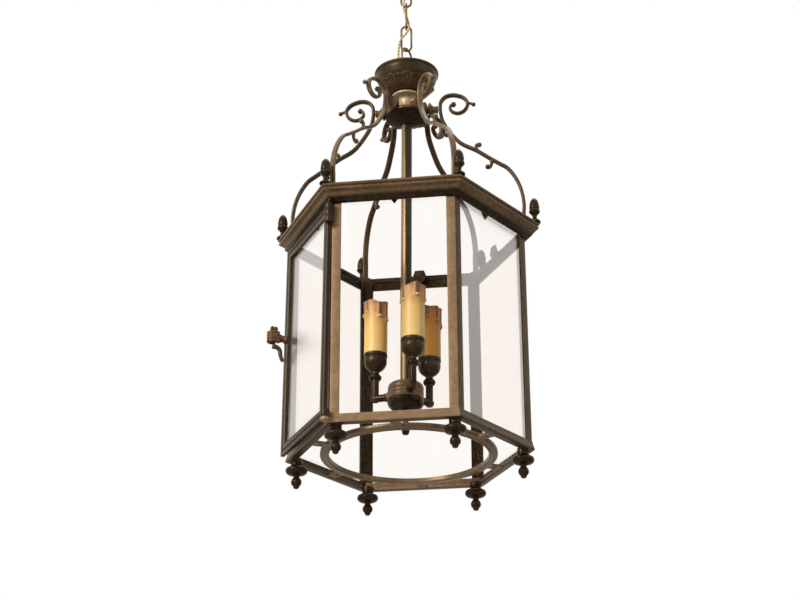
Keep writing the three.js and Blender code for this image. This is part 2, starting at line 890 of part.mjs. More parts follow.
function baseCircle() {
  const innerR = circleR - circleWidth;
  const midZ = flangeZ + flangeSheet / 2;
  const footZ = midZ - circleHeight / 2;
  const topZ = midZ + circleHeight / 2;
  const ring = turned([
    [innerR, footZ + 1.2],
    [innerR + 1.2, footZ],
    [innerR + 3, footZ],
    [innerR + 4, footZ + 1],
    [circleR - 1, footZ + 1],
    [circleR, footZ + 2],
    [circleR, topZ],
    [innerR, topZ],
  ], 36);
  const tabStart = circleR - 3;
  const tabLength = webInner - flangeReach - seat - tabStart;
  const tab = block(tabLength, circleTabWidth, circleTabHeight, tabStart + tabLength / 2, 0, midZ);
  const tabs = [];
  for (let i = 0; i < sideCount; i += 1) tabs.push(tab.clone().rotateZ((i * 60 + 30) * deg));
  return join(ring, ...tabs);
}

piece("cornice", cornice(), paleBronze, lantern);
piece("base_ring", baseRing(), paleBronze, lantern);
piece("base_circle", baseCircle(), bronze, lantern);

// Corner posts and acorns

function post() {
  const cornerR = postFace / cos30;
  const along = [-Math.sin(30 * deg), cos30];
  const inward = [-cos30, -Math.sin(30 * deg)];
  const legEnd = [cornerR + along[0] * postLeg, along[1] * postLeg];
  const legBack = [legEnd[0] + inward[0] * postSheet, legEnd[1] + inward[1] * postSheet];
  const innerR = (postFace - postSheet) / cos30;
  const shape = new THREE.Shape([
    new THREE.Vector2(cornerR, 0),
    new THREE.Vector2(legEnd[0], legEnd[1]),
    new THREE.Vector2(legBack[0], legBack[1]),
    new THREE.Vector2(innerR, 0),
    new THREE.Vector2(legBack[0], -legBack[1]),
    new THREE.Vector2(legEnd[0], -legEnd[1]),
  ]);
  return new THREE.ExtrudeGeometry(shape, { depth: postLength, bevelEnabled: false })
    .translate(0, 0, webTopZ + seat);
}

function acorn() {
  return turned([
    [0, 0],
    [7.2, 0],
    [7.2, 1.5],
    [4, 3.6],
    [2.7, 5.5],
    [2.7, 8.7],
    [6.4, 13.3],
    [6.4, 15],
    [5.3, 16.2],
    [5.7, 21],
    [4.6, 27.5],
    [2.2, 31],
    [0, 32.2],
  ], 8).translate(acornCircle, 0, corniceTopZ + seat);
}

for (let i = 0; i < sideCount; i += 1) {
  const corner = turnedGroup(lantern, i * 60);
  piece(`post_${i + 1}`, post(), bronze, corner);
  piece(`acorn_${i + 1}`, acorn(), paleBronze, corner);
}

// Five fixed panes; the sixth side, facing 210 degrees, is the door

const paneSides = [270, 330, 30, 90, 150];
paneSides.forEach((normal, i) => {
  const height = paneTopZ - paneFootZ;
  const middle = (paneOuter + paneInner) / 2;
  const pane = block(paneSheet, 2 * paneHalfWidth, height, middle, 0, paneFootZ + height / 2);
  piece(`pane_${i + 1}`, pane, glass, turnedGroup(lantern, normal));
});

// Door leaf: X runs from the hinge to the latch, Y outward, Z up from the leaf's middle

const doorway = turnedGroup(lantern, hingeCorner - 120);
doorway.position.set(hingeR * Math.cos(hingeCorner * deg), hingeR * Math.sin(hingeCorner * deg), doorMidZ);
const door = new THREE.Group();
door.rotation.set(doorLean * deg, 0, doorAjar * deg);
doorway.add(door);

function leafRect(inset) {
  const low = new THREE.Vector2(doorHingeGap + inset, -doorHeight / 2 + inset);
  const high = new THREE.Vector2(doorHingeGap + doorWidth - inset, doorHeight / 2 - inset);
  return [low, high];
}

function openingRect(grow) {
  const low = new THREE.Vector2(doorHingeGap + doorStile - grow, -doorHeight / 2 + doorRail - grow);
  const high = new THREE.Vector2(
    doorHingeGap + doorWidth - doorStile + grow,
    doorHeight / 2 - doorRail + grow,
  );
  return [low, high];
}

function leafRing(outer, inner, fromY, depth) {
  const shape = ringShape(outer[0], outer[1], inner[0], inner[1]);
  return new THREE.ExtrudeGeometry(shape, { depth, bevelEnabled: false })
    .rotateX(90 * deg)
    .translate(0, fromY, 0);
}

function rectBlock([low, high], fromY, toY) {
  const middle = new THREE.Vector2().addVectors(low, high).multiplyScalar(0.5);
  return block(high.x - low.x, toY - fromY, high.y - low.y, middle.x, (fromY + toY) / 2, middle.y);
}

function doorFrame() {
  const frame = leafRing(leafRect(0), openingRect(0), 0, doorSheet);
  const groove = leafRing(leafRect(doorGrooveIn), leafRect(doorGrooveIn + doorGroove), 1, 1 + doorGrooveDepth);
  const rebate = rectBlock(openingRect(rebateWidth), -doorSheet - 1, -doorSheet + rebateDepth);
  const top = doorHeight / 2;
  const barrelFoot = top - barrelHeight;
  const third = barrelHeight / 3;
  const barrelProfile = [[0, barrelFoot]];
  for (let i = 0; i < 3; i += 1) {
    const z = barrelFoot + i * third;
    barrelProfile.push([barrelR - 1, z], [barrelR, z + 1.5], [barrelR, z + third - 1.5]);
    barrelProfile.push([barrelR - 1, z + third - 0.1]);
  }
  barrelProfile.push([0, top - 0.1]);
  const barrel = turned(barrelProfile, 10);
  const knuckle = turned([
    [0, -top],
    [collarKnuckleR, -top],
    [collarKnuckleR, -top + collarKnuckleHeight - 2],
    [collarKnuckleR - 0.9, -top + collarKnuckleHeight],
    [0, -top + collarKnuckleHeight],
  ], 10);
  const boreR = pinR + boreSlack;
  const upperBore = rod(boreR, top - pinLength - 1, top + 1, 8);
  const lowerBore = rod(boreR, -top - 1, -top + collarKnuckleHeight + 1, 8);
  const leaf = cut(frame, groove, rebate);
  return cut(join(leaf, barrel, knuckle), upperBore, lowerBore);
}

function doorPane() {
  const front = -doorSheet + rebateDepth - seat;
  return rectBlock(openingRect(rebateWidth - seat), front - paneSheet, front);
}

// A small cast hand that holds the turning bolt

function latchHand() {
  const cuff = new THREE.CylinderGeometry(cuffR, cuffR * 0.92, cuffLength, 8)
    .translate(0, seat + cuffLength / 2, 0);
  const band = new THREE.CylinderGeometry(cuffR + 0.9, cuffR + 0.9, 1.6, 8)
    .translate(0, seat + 0.8, 0);
  const back = egg(4.6, 5.4, fistHeight * 0.46, 0, boltOut - 4.6, 0, 6, 5);
  const fingerPitch = fistHeight / fingerCount;
  const fingers = [];
  for (let i = 0; i < fingerCount; i += 1) {
    const z = (i - (fingerCount - 1) / 2) * fingerPitch;
    fingers.push(egg(5.4, 7.6, fingerPitch * 0.62, 0, boltOut + 0.8, z, 6, 4));
  }
  const grip = rod(boltR + boreSlack, -fistHeight, fistHeight, 8).translate(0, boltOut, 0);
  return cut(join(cuff, band, back, ...fingers), grip);
}

function latchBolt() {
  const shaft = rod(boltR, -fistHeight / 2 - 7, fistHeight / 2 + 2.5, 8);
  const headZ = fistHeight / 2 + seat + 3.6;
  const lobes = [-1, 1].map((side) => egg(2.4, 2.6, 3.6, 0, side * 2.1, headZ, 6, 5));
  const tail = sweep(smooth([
    [0, 0.6, -fistHeight / 2 - 4],
    [0, -4.5, -fistHeight / 2 - 4.8],
    [0, -7.6, -fistHeight / 2 - 7.8],
    [0, -8.4, -fistHeight / 2 - 12.5],
    [0, -9.8, -fistHeight / 2 - 17.2],
    [0, -11.8, -fistHeight / 2 - 21],
  ]), roundSection(boltTailR, 6), 8);
  return join(shaft, ...lobes, tail).translate(0, boltOut, 0);
}

piece("door_frame", doorFrame(), bronze, door);
piece("door_glass", doorPane(), glass, door);
const latch = new THREE.Group();
latch.position.set(doorHingeGap + doorWidth - doorStile / 2, 0, latchRise);
door.add(latch);
piece("latch_hand", latchHand(), bronze, latch);
piece("latch_bolt", latchBolt(), paleBronze, latch);

// Stem and candle cluster, hanging slightly off plumb from the hub

const leanPivotZ = (hubBottomZ + stemTopZ) / 2;
const leaning = new THREE.Group();
leaning.position.z = leanPivotZ;
leaning.rotation.y = stemLean * deg;
lantern.add(leaning);
const cluster = new THREE.Group();
cluster.position.z = -leanPivotZ;
leaning.add(cluster);

const drumFootZ = drumTopZ - drumHeight;
const capTopZ = drumFootZ - seat;
const capFootZ = capTopZ - capHeight;
const nutTopZ = capFootZ - seat;

function stem() {
  return turned([
    [stemBoreR, stemFootZ],
    [stemR, stemFootZ],
    [stemR, stemTopZ],
    [stemBoreR, stemTopZ],
  ], 16);
}

function candleTubeHoles() {
  return candleAngles.map((angle) =>
    rod(candleTubeR + boreSlack, 0, candleCircle, 10)
      .rotateY(90 * deg)
      .translate(0, 0, candleTubeZ)
      .rotateZ(angle * deg));
}

function clusterDrum() {
  const innerR = drumR - drumSheet;
  const boreR = stemR + boreSlack;
  const can = turned([
    [boreR, drumTopZ],
    [drumR - 5, drumTopZ],
    [drumR - 1.4, drumTopZ - 1.6],
    [drumR, drumTopZ - 4.6],
    [drumR, drumTopZ - 9.4],
    [drumR - 0.5, drumTopZ - 10],
    [drumR, drumTopZ - 10.6],
    [drumR, drumFootZ],
    [innerR, drumFootZ],
    [innerR, drumTopZ - 5],
    [innerR - 3, drumTopZ - drumSheet - 0.6],
    [boreR, drumTopZ - drumSheet - 0.6],
  ], 20);
  return cut(can, ...candleTubeHoles());
}

function clusterCap() {
  const studHoleR = nutStudR + boreSlack;
  return turned([
    [capR, capTopZ],
    [capR, capTopZ - 2.6],
    [capR * 0.93, capTopZ - capHeight * 0.5],
    [capR * 0.64, capFootZ + 1.2],
    [capR * 0.4, capFootZ],
    [studHoleR, capFootZ],
    [studHoleR, capFootZ + capSheet],
    [capR * 0.4, capFootZ + capSheet],
    [capR * 0.6, capFootZ + 1.2 + capSheet],
    [capR * 0.93 - capSheet, capTopZ - capHeight * 0.46],
    [capR - capSheet, capTopZ],
  ], 18);
}

function clusterNut() {
  const tipZ = nutTopZ - nutHeight;
  return turned([
    [0, tipZ],
    [nutR * 0.5, tipZ],
    [nutR * 0.72, tipZ + 1.4],
    [nutR * 0.9, tipZ + 5.5],
    [nutR, tipZ + 7],
    [nutR, tipZ + 10.5],
    [nutR * 0.75, tipZ + 12],
    [nutR * 0.7, nutTopZ - 6],
    [nutR * 1.3, nutTopZ - 2],
    [nutR * 1.3, nutTopZ],
    [nutStudR, nutTopZ],
    [nutStudR, nutTopZ + nutStudLength],
    [0, nutTopZ + nutStudLength],
  ], 10);
}

piece("stem", stem(), paleBronze, cluster);
piece("cluster_drum", clusterDrum(), bronze, cluster);
piece("cluster_cap", clusterCap(), darkBronze, cluster);
piece("cluster_nut", clusterNut(), darkBronze, cluster);

// One candle light, drawn on the X axis

const candleArmTopZ = candleTubeZ + candleArmRise;
const ballFootZ = candleArmTopZ + seat;
const ballZ = ballFootZ + ballR;
const lipZ = ballZ + ballR * 0.3;
const lipTopZ = lipZ + cupLipHeight;
const sleeveFootZ = lipTopZ + seat;
const sleeveTopZ = sleeveFootZ + sleeveHeight;

function candleArm() {
  const outward = rod(candleTubeR, candleTubeIn, candleCircle + candleTubeR, 8)
    .rotateY(90 * deg)
    .translate(0, 0, candleTubeZ);
  const upward = rod(candleTubeR, candleTubeZ - candleTubeR, candleArmTopZ, 8)
    .translate(candleCircle, 0, 0);
  const ringZ = candleTubeZ + candleRingRise;
  const ring = turned([
    [0, ringZ],
    [candleRingR - 1.8, ringZ],
    [candleRingR, ringZ + candleRingHeight * 0.35],
    [candleRingR, ringZ + candleRingHeight * 0.6],
    [candleRingR - 1.4, ringZ + candleRingHeight * 0.8],
    [candleTubeR + 0.4, ringZ + candleRingHeight],
    [0, ringZ + candleRingHeight],
  ], 8).translate(candleCircle, 0, 0);
  return join(upward, outward, ring);
}

function candleCup() {
  const innerR = ballR - ballSheet;
  const onBall = (radius, angle) => [
    radius * Math.cos(angle * deg),
    ballZ + radius * Math.sin(angle * deg),
  ];
  const nippleHoleR = nippleR + boreSlack;
  return turned([
    [nippleHoleR, ballFootZ],
    [ballNeckR, ballFootZ],
    onBall(ballR, -54),
    onBall(ballR, -28),
    onBall(ballR, -2),
    onBall(ballR, 16),
    [cupLipR - 1.4, lipZ + 0.1],
    [cupLipR, lipZ + 0.9],
    [cupLipR, lipTopZ],
    [holderR + boreSlack, lipTopZ],
    [holderR + boreSlack, lipZ],
    onBall(innerR, 0),
    onBall(innerR, -45),
    [nippleHoleR, ballZ - innerR + 0.6],
  ], 12).translate(candleCircle, 0, 0);
}

// A wax tube with an uneven top and runs of wax down its side.
function candleSleeve(index) {
  const tube = turned([
    [sleeveR - sleeveSheet, sleeveFootZ],
    [sleeveR, sleeveFootZ],
    [sleeveR, sleeveTopZ],
    [sleeveR - sleeveSheet, sleeveTopZ],
  ], 16);
  const position = tube.attributes.position;
  for (let i = 0; i < position.count; i += 1) {
    const atTop = position.getZ(i) > sleeveTopZ - 1;
    const angle = Math.atan2(position.getY(i), position.getX(i));
    const wave = 1.6 * Math.sin(2 * angle + index) + 1.1 * Math.sin(5 * angle + 2 * index);
    if (atTop) position.setZ(i, sleeveTopZ - 2.7 + wave);
  }
  const runs = [];
  const runAngles = [20, 110, 200, 290];
  runAngles.forEach((start, i) => {
    const length = 16 + 9 * Math.sin(2.3 * i + index);
    const angle = (start + 40 * index) * deg;
    runs.push(egg(1.4, 2.1, length / 2, sleeveR, 0, sleeveTopZ - 5.5 - length / 2, 5, 4).rotateZ(angle));
  });
  return join(tube, ...runs).translate(candleCircle, 0, 0);
}

function lampholder() {
  const floorZ = ballZ - ballR + ballSheet + 2.2;
  const topZ = sleeveTopZ - holderTopGap;
  const bodyFootZ = topZ - holderBodyHeight;
  return turned([
    [0, ballFootZ + seat],
    [nippleR, ballFootZ + seat],
    [nippleR, floorZ],
    [nippleR + 2.5, floorZ],
    [nippleR + 2.5, floorZ + 1.8],
    [nippleR + 0.9, floorZ + 2.4],
    [nippleR + 0.9, bodyFootZ - 3],
    [holderR, bodyFootZ],
    [holderR, topZ - 2],
    [holderR - 0.8, topZ],
    [socketR, topZ],
    [socketR, topZ - socketDepth],
    [0, topZ - socketDepth],
  ], 10).translate(candleCircle, 0, 0);
}

candleAngles.forEach((angle, i) => {
  const light = turnedGroup(cluster, angle);
  piece(`candle_arm_${i + 1}`, candleArm(), bronze, light);
  piece(`candle_cup_${i + 1}`, candleCup(), darkBronze, light);
  piece(`candle_sleeve_${i + 1}`, candleSleeve(i), wax, light);
  piece(`lampholder_${i + 1}`, lampholder(), bakelite, light);
});

// Flex: from the rose, woven beside and through the links, into the cup and down the stem.
// Its points are [along the first link's plane, across it, height under the ceiling].

const besideLink = linkWire / 2 + flexR + 0.45;
const besideHook = hookWire / 2 + flexR + 0.5;
const jointZ = (i) => firstLinkTopZ - linkLength + linkWire / 2 - i * linkPitch;
const linkMidZ = (i) => firstLinkTopZ - linkLength / 2 - i * linkPitch;
const flexTop = [
  [roseOutletR, 0, -roseDepth + 12],
  [roseOutletR, 0, -roseDepth - 2],
  [roseOutletR - 2, 0.6, -roseDepth - 11],
  [roseOutletR - 7, 2.6, bendTopZ - 5],
  [besideHook + 2, besideLink + 0.8, hookBarZ + 8],
  [besideHook + 0.6, besideLink + 0.4, hookBarZ],
  [besideHook - 0.8, besideLink, hookBarZ - 5],
];
const flexWeave = [
  [0.3, 0.2, linkMidZ(0)],
  [-besideLink, -besideLink, jointZ(0) + 3.5],
  [-besideLink - 0.2, -besideLink, jointZ(0) - 3.5],
  [0, -2.2, linkMidZ(1)],
  [besideLink + 0.1, -besideLink, jointZ(1) + 3.5],
  [besideLink, -besideLink - 0.1, jointZ(1) - 2],
  [-1.5, -besideLink - 0.2, jointZ(1) - 10.5],
  [-7, -besideLink - 0.3, jointZ(1) - 18],
  [-9.6, -2.8, jointZ(2) + 2],
];
const flexInCup = [
  [-9.9, -1.4, jointZ(2) - 10],
  [-9.4, -0.6, lanternZ + plateTopZ + 26],
  [-6.8, 0, lanternZ + plateTopZ + 15],
  [-1.8, 0, lanternZ + plateTopZ + 7.5],
  [0, 0, lanternZ + plateTopZ + 1.5],
  [0, 0, lanternZ + platePlaneZ],
  [0, 0, lanternZ + collarZ + 4],
];
const flexCurve = smooth([...flexTop, ...flexWeave, ...flexInCup]);
const flexSection = roundSection(flexR, 8);

function flexStretch(fromZ, toZ, steps) {
  const from = fromZ === null ? 0 : shareAtHeight(flexCurve, fromZ - seat / 2);
  const to = toZ === null ? 1 : shareAtHeight(flexCurve, toZ + seat / 2);
  return sweep(new Stretch(flexCurve, from, to), flexSection, steps);
}

// The straight run down the stem follows the stem's lean, so it is drawn in the leaning group's place.
function flexInStem() {
  const footZ = stemFootZ + nutStudLength / 2 + 4;
  const across = (z) => (z - leanPivotZ) * Math.tan(stemLean * deg);
  const turn = -chainTurn * deg;
  const low = across(footZ);
  const points = [
    [0, 0, lanternZ + collarZ + 4 + overlap],
    [0, 0, lanternZ + hubBottomZ],
    [(low / 2) * Math.cos(turn), (low / 2) * Math.sin(turn), lanternZ + (footZ + leanPivotZ) / 2],
    [low * Math.cos(turn), low * Math.sin(turn), lanternZ + footZ],
  ];
  return sweep(smooth(points), flexSection, 6);
}

piece("flex_rose", flexStretch(null, linkMidZ(0), 14), goldThread, chain);
piece("flex_upper", flexStretch(linkMidZ(0), linkMidZ(1), 8), goldThread, chain);
piece("flex_middle", flexStretch(linkMidZ(1), linkMidZ(2), 8), goldThread, chain);
piece("flex_lower", join(flexStretch(linkMidZ(2), null, 16), flexInStem()), goldThread, chain);

export default lamp;
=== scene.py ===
# Hexagonal hall lantern on a chain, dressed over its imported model.
# Lengths in the dictionaries are millimetres. Heights inside the lantern count up from the tips of
# its six lowest drops, and heights of the ceiling fitting and the chain count down from the ceiling.

import json
import math

import bmesh
import bpy
from mathutils import Matrix, Vector, noise


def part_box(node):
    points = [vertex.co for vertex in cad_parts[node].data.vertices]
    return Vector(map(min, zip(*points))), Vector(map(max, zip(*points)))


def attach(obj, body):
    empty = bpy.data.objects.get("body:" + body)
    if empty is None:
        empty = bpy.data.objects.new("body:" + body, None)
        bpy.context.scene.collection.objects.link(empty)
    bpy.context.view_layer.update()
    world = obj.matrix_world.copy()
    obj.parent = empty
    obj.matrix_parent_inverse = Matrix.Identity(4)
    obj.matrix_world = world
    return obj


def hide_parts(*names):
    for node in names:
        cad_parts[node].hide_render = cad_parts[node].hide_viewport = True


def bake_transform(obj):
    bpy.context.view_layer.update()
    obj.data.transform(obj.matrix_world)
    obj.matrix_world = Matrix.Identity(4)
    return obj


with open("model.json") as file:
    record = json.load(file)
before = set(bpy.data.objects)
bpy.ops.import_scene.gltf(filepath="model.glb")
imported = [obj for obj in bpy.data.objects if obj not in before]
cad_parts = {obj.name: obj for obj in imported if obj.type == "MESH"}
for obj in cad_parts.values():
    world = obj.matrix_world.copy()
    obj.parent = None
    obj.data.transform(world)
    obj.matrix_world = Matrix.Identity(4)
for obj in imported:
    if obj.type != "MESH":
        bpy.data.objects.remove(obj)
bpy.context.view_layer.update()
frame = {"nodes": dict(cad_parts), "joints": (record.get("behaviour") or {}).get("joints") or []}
print("frame loaded,", len(frame["nodes"]), "nodes")

mm = 0.001
turn = 2 * math.pi
cos30 = math.cos(math.pi / 6)
tan30 = math.tan(math.pi / 6)


# Shaders: a socket that does maths, and a small node builder

class Signal:
    def __init__(self, shader, socket):
        self.shader = shader
        self.socket = socket

    def maths(self, operation, first, second=0.0, clamp=False):
        settings = {"operation": operation, "use_clamp": clamp}
        return self.shader.node("ShaderNodeMath", settings, {0: first, 1: second})

    def __add__(self, other):
        return self.maths("ADD", self, other)

    def __radd__(self, other):
        return self.maths("ADD", other, self)

    def __sub__(self, other):
        return self.maths("SUBTRACT", self, other)

    def __rsub__(self, other):
        return self.maths("SUBTRACT", other, self)

    def __mul__(self, other):
        return self.maths("MULTIPLY", self, other)

    def __rmul__(self, other):
        return self.maths("MULTIPLY", other, self)

    def __truediv__(self, other):
        return self.maths("DIVIDE", self, other)

    # The larger of the two
    def __or__(self, other):
        return self.maths("MAXIMUM", self, other)

    def clamped(self):
        return self.maths("ADD", self, 0.0, clamp=True)

    # 0 below low, 1 above high, smooth between
    def step(self, low, high):
        values = {"Value": self, "From Min": low, "From Max": high, "To Min": 0.0, "To Max": 1.0}
        return self.shader.node("ShaderNodeMapRange", {"interpolation_type": "SMOOTHSTEP"}, values)


# The nodes of one material, or of the world when one is given
class Finish:
    def __init__(self, name, world=None):
        self.owner = world or bpy.data.materials.new(name)
        self.owner.use_nodes = True
        self.tree = self.owner.node_tree
        self.tree.nodes.clear()
        kind = "ShaderNodeOutputWorld" if world else "ShaderNodeOutputMaterial"
        self.output = self.tree.nodes.new(kind)

    def node(self, kind, settings=None, sockets=None, out=0):
        made = self.tree.nodes.new(kind)
        for key, value in (settings or {}).items():
            setattr(made, key, value)
        for key, value in (sockets or {}).items():
            self.plug(made.inputs[key], value)
        return Signal(self, made.outputs[out])

    def plug(self, socket, value):
        if isinstance(value, Signal):
            self.tree.links.new(value.socket, socket)
        elif socket.type == "RGBA" and len(value) == 3:
            socket.default_value = (*value, 1.0)
        else:
            socket.default_value = value

    def place(self):
        return self.node("ShaderNodeTexCoord", out="Object")

    def height(self):
        return self.node("ShaderNodeSeparateXYZ", None, {"Vector": self.place()}, "Z")

    def noise(self, size, detail=4.0, roughness=0.55, vector=None):
        values = {
            "Vector": vector or self.place(),
            "Scale": 1.0 / (size * mm),
            "Detail": detail,
            "Roughness": roughness,
        }
        return self.node("ShaderNodeTexNoise", None, values)

    def mix(self, share, first, second, blend="MIX"):
        settings = {"data_type": "RGBA", "blend_type": blend, "clamp_factor": True}
        return self.node("ShaderNodeMix", settings, {0: share, 6: first, 7: second}, 2)

    # 1 along outward edges, 0 on flat faces
    def edges(self, width):
        rounded = self.node("ShaderNodeBevel", {"samples": 6}, {"Radius": width * mm})
        flat = self.node("ShaderNodeNewGeometry", out="Normal")
        settings = {"operation": "DOT_PRODUCT"}
        likeness = self.node("ShaderNodeVectorMath", settings, {0: rounded, 1: flat}, "Value")
        return (1.0 - likeness).step(0.002, 0.16)

    def bump(self, height, strength, distance):
        values = {"Height": height, "Strength": strength, "Distance": distance * mm}
        return self.node("ShaderNodeBump", None, values)

    def surface(self, shader):
        self.tree.links.new(shader.socket, self.output.inputs["Surface"])
        return self.owner

    def coat(self, values):
        return self.surface(self.node("ShaderNodeBsdfPrincipled", None, values))


# The tint of every metal's shine
warmShine = (1.0, 0.74, 0.47)

# Aged bronze: a brown skin, darker where dirt has settled, rubbed to a lighter metal along edges
bronzeLooks = {
    "bronze": {
        "skin": (0.080, 0.048, 0.024),
        "dirt": (0.030, 0.017, 0.008),
        "rubbed": (0.42, 0.27, 0.14),
        "metal": 0.25,
        "gloss": 0.30,
        "rough": (0.26, 0.38),
        "wear": 0.5,
    },
    "tanBronze": {
        "skin": (0.275, 0.172, 0.092),
        "dirt": (0.170, 0.101, 0.051),
        "rubbed": (0.66, 0.44, 0.25),
        "metal": 0.15,
        "gloss": 0.22,
        "rough": (0.30, 0.42),
        "wear": 0.55,
    },
    "paleBronze": {
        "skin": (0.185, 0.122, 0.066),
        "dirt": (0.085, 0.051, 0.025),
        "rubbed": (0.52, 0.37, 0.21),
        "metal": 0.15,
        "gloss": 0.30,
        "rough": (0.26, 0.38),
        "wear": 0.65,
    },
    "beadBronze": {
        "skin": (0.165, 0.098, 0.048),
        "dirt": (0.075, 0.043, 0.021),
        "rubbed": (0.36, 0.23, 0.12),
        "metal": 0.25,
        "gloss": 0.30,
        "rough": (0.24, 0.36),
        "wear": 0.6,
    },
    "copperBronze": {
        "skin": (0.155, 0.078, 0.036),
        "dirt": (0.030, 0.014, 0.007),
        "rubbed": (0.62, 0.38, 0.20),
        "metal": 0.35,
        "gloss": 0.45,
        "rough": (0.22, 0.34),
        "wear": 0.7,
    },
    "ballBronze": {
        "skin": (0.030, 0.018, 0.009),
        "dirt": (0.014, 0.008, 0.004),
        "rubbed": (0.24, 0.15, 0.08),
        "metal": 0.25,
        "gloss": 0.42,
        "rough": (0.30, 0.40),
        "wear": 0.5,
    },
    "brownBronze": {
        "skin": (0.024, 0.0145, 0.0072),
        "dirt": (0.017, 0.010, 0.005),
        "rubbed": (0.24, 0.15, 0.075),
        "metal": 0.25,
        "gloss": 0.22,
        "rough": (0.24, 0.36),
        "wear": 0.55,
    },
    "darkBronze": {
        "skin": (0.020, 0.012, 0.006),
        "dirt": (0.009, 0.005, 0.003),
        "rubbed": (0.19, 0.115, 0.055),
        "metal": 0.2,
        "gloss": 0.20,
        "rough": (0.22, 0.34),
        "wear": 0.5,
    },
    "leafBronze": {
        "skin": (0.080, 0.040, 0.019),
        "dirt": (0.020, 0.010, 0.005),
        "rubbed": (0.40, 0.22, 0.11),
        "metal": 0.25,
        "gloss": 0.35,
        "rough": (0.26, 0.38),
        "wear": 0.6,
    },
    "linkBrass": {
        "skin": (0.30, 0.195, 0.085),
        "dirt": (0.055, 0.033, 0.014),
        "rubbed": (0.66, 0.48, 0.24),
        "metal": 0.5,
        "gloss": 0.3,
        "rough": (0.24, 0.40),
        "wear": 0.7,
    },
    "collarBrass": {
        "skin": (0.60, 0.45, 0.27),
        "dirt": (0.36, 0.21, 0.095),
        "rubbed": (0.92, 0.82, 0.62),
        "metal": 0.25,
        "gloss": 0.4,
        "rough": (0.34, 0.46),
        "wear": 0.5,
    },
}


def agedBronze(name, look):
    finish = Finish(name)
    broad = finish.noise(42.0, 3.0)
    mottle = finish.noise(5.5, 5.0, 0.6)
    grain = finish.noise(0.9, 3.0)
    settled = (broad * 0.6 + mottle * 0.4).step(0.34, 0.64)
    worn = (finish.edges(1.1) * (mottle + 0.35)).step(0.12, 0.75) * look["wear"]
    skin = finish.mix(settled * 0.65 + 0.35, look["dirt"], look["skin"])
    lifted = finish.mix(mottle.step(0.50, 0.80) * 0.12, skin, look["rubbed"])
    color = finish.mix(worn, lifted, look["rubbed"])
    low, high = look["rough"]
    rough = low + (high - low) * (mottle.step(0.35, 0.65) * 0.7 + grain * 0.3) - worn * 0.06
    values = {
        "Base Color": color,
        "Metallic": look["metal"],
        "Roughness": rough,
        "Specular IOR Level": look["gloss"],
        "Specular Tint": warmShine,
        "Normal": finish.bump(mottle * 0.7 + grain * 0.3, 0.16, 0.3),
    }
    return finish.coat(values)


metals = {name: agedBronze(name, look) for name, look in bronzeLooks.items()}

stemLook = {
    "highlight": (0.32, 0.205, 0.100),
    "shadeAndGrain": (0.036, 0.029, 0.021),
    "far": (0.115, 0.088, 0.066),
    "highlightSide": 188.0,  # degrees round from X
    "radius": 6.35,
}


# Lacquered tube with a painted highlight down one side, painted shade round the middle and a lighter painted
# rim light on the far side, under a fine darker grain
def stemBrass(name):
    finish = Finish(name)
    place = finish.place()
    x = finish.node("ShaderNodeSeparateXYZ", None, {"Vector": place}, "X")
    y = finish.node("ShaderNodeSeparateXYZ", None, {"Vector": place}, "Y")
    way = math.radians(stemLook["highlightSide"])
    side = (x * math.cos(way) + y * math.sin(way)) / (stemLook["radius"] * mm)
    cloudy = finish.noise(30.0, 3.0)
    fine = finish.noise(1.2, 3.0)
    side = side + (cloudy - 0.5) * 0.35
    color = finish.mix(side.step(0.2, 0.6), stemLook["shadeAndGrain"], stemLook["highlight"])
    # The far colour is a painted rim light on the side away from the painted highlight
    color = finish.mix(1.0 - side.step(-0.95, -0.55), color, stemLook["far"])
    # Fine grain darkens toward the same colour as the painted shade
    color = finish.mix(fine.step(0.45, 0.75) * 0.2, color, stemLook["shadeAndGrain"])
    values = {
        "Base Color": color,
        "Metallic": 0.35,
        "Roughness": 0.26 + cloudy * 0.14,
        "Specular IOR Level": 0.3,
        "Specular Tint": warmShine,
        "Normal": finish.bump(fine, 0.08, 0.15),
    }
    return finish.coat(values)


metals["stemBrass"] = stemBrass("stemBrass")

# The tints are for one face, and the veil is what it mirrors when it is seen from the side
glassLook = {
    "clear": (0.992, 0.974, 0.958),
    "border": (0.90, 0.885, 0.86),
    "shine": (0.95, 0.90, 0.865),
    "dust": (0.62, 0.58, 0.54),
    "film": 0.02,
    "rough": 0.32,
    "turns": (0.12, 0.42),  # the tint goes from the face-on one to the side-on one
    "veilFrom": 0.13,
    "veil": 1.0,
    "backVeil": 0.02,
}


# Old plate glass: clear face on, veiled from the side, with a thin film of dust
def plateGlass(name, sideTint, veil):
    finish = Finish(name)
    smear = finish.noise(26.0, 4.0).step(0.45, 0.75)
    speck = finish.noise(2.4, 2.0).step(0.62, 0.76)
    facing = finish.node("ShaderNodeLayerWeight", None, {"Blend": 0.5}, "Facing")
    leaving = finish.node("ShaderNodeNewGeometry", out="Backfacing")
    faceOn = finish.node("ShaderNodeBsdfTransparent", None, {"Color": glassLook["clear"]})
    sideOn = finish.node("ShaderNodeBsdfTransparent", None, {"Color": sideTint})
    turned = facing.step(*glassLook["turns"])
    through = finish.node("ShaderNodeMixShader", None, {0: turned, 1: faceOn, 2: sideOn})
    values = {"Color": glassLook["shine"], "Roughness": glassLook["rough"]}
    shine = finish.node("ShaderNodeBsdfGlossy", None, values)
    mirrored = ((facing - glassLook["veilFrom"]) * veil).clamped() * (1.0 - leaving)
    pane = finish.node("ShaderNodeMixShader", None, {0: mirrored, 1: through, 2: shine})
    dust = finish.node("ShaderNodeBsdfDiffuse", None, {"Color": glassLook["dust"]})
    share = (smear * 0.5 + speck * 0.5) * glassLook["film"]
    return finish.surface(finish.node("ShaderNodeMixShader", None, {0: share, 1: pane, 2: dust}))


glass = [
    plateGlass("glassFace", glassLook["clear"], glassLook["veil"]),
    plateGlass("groundBorder", glassLook["border"], glassLook["veil"]),
    plateGlass("glassBack", glassLook["clear"], glassLook["backVeil"]),
]

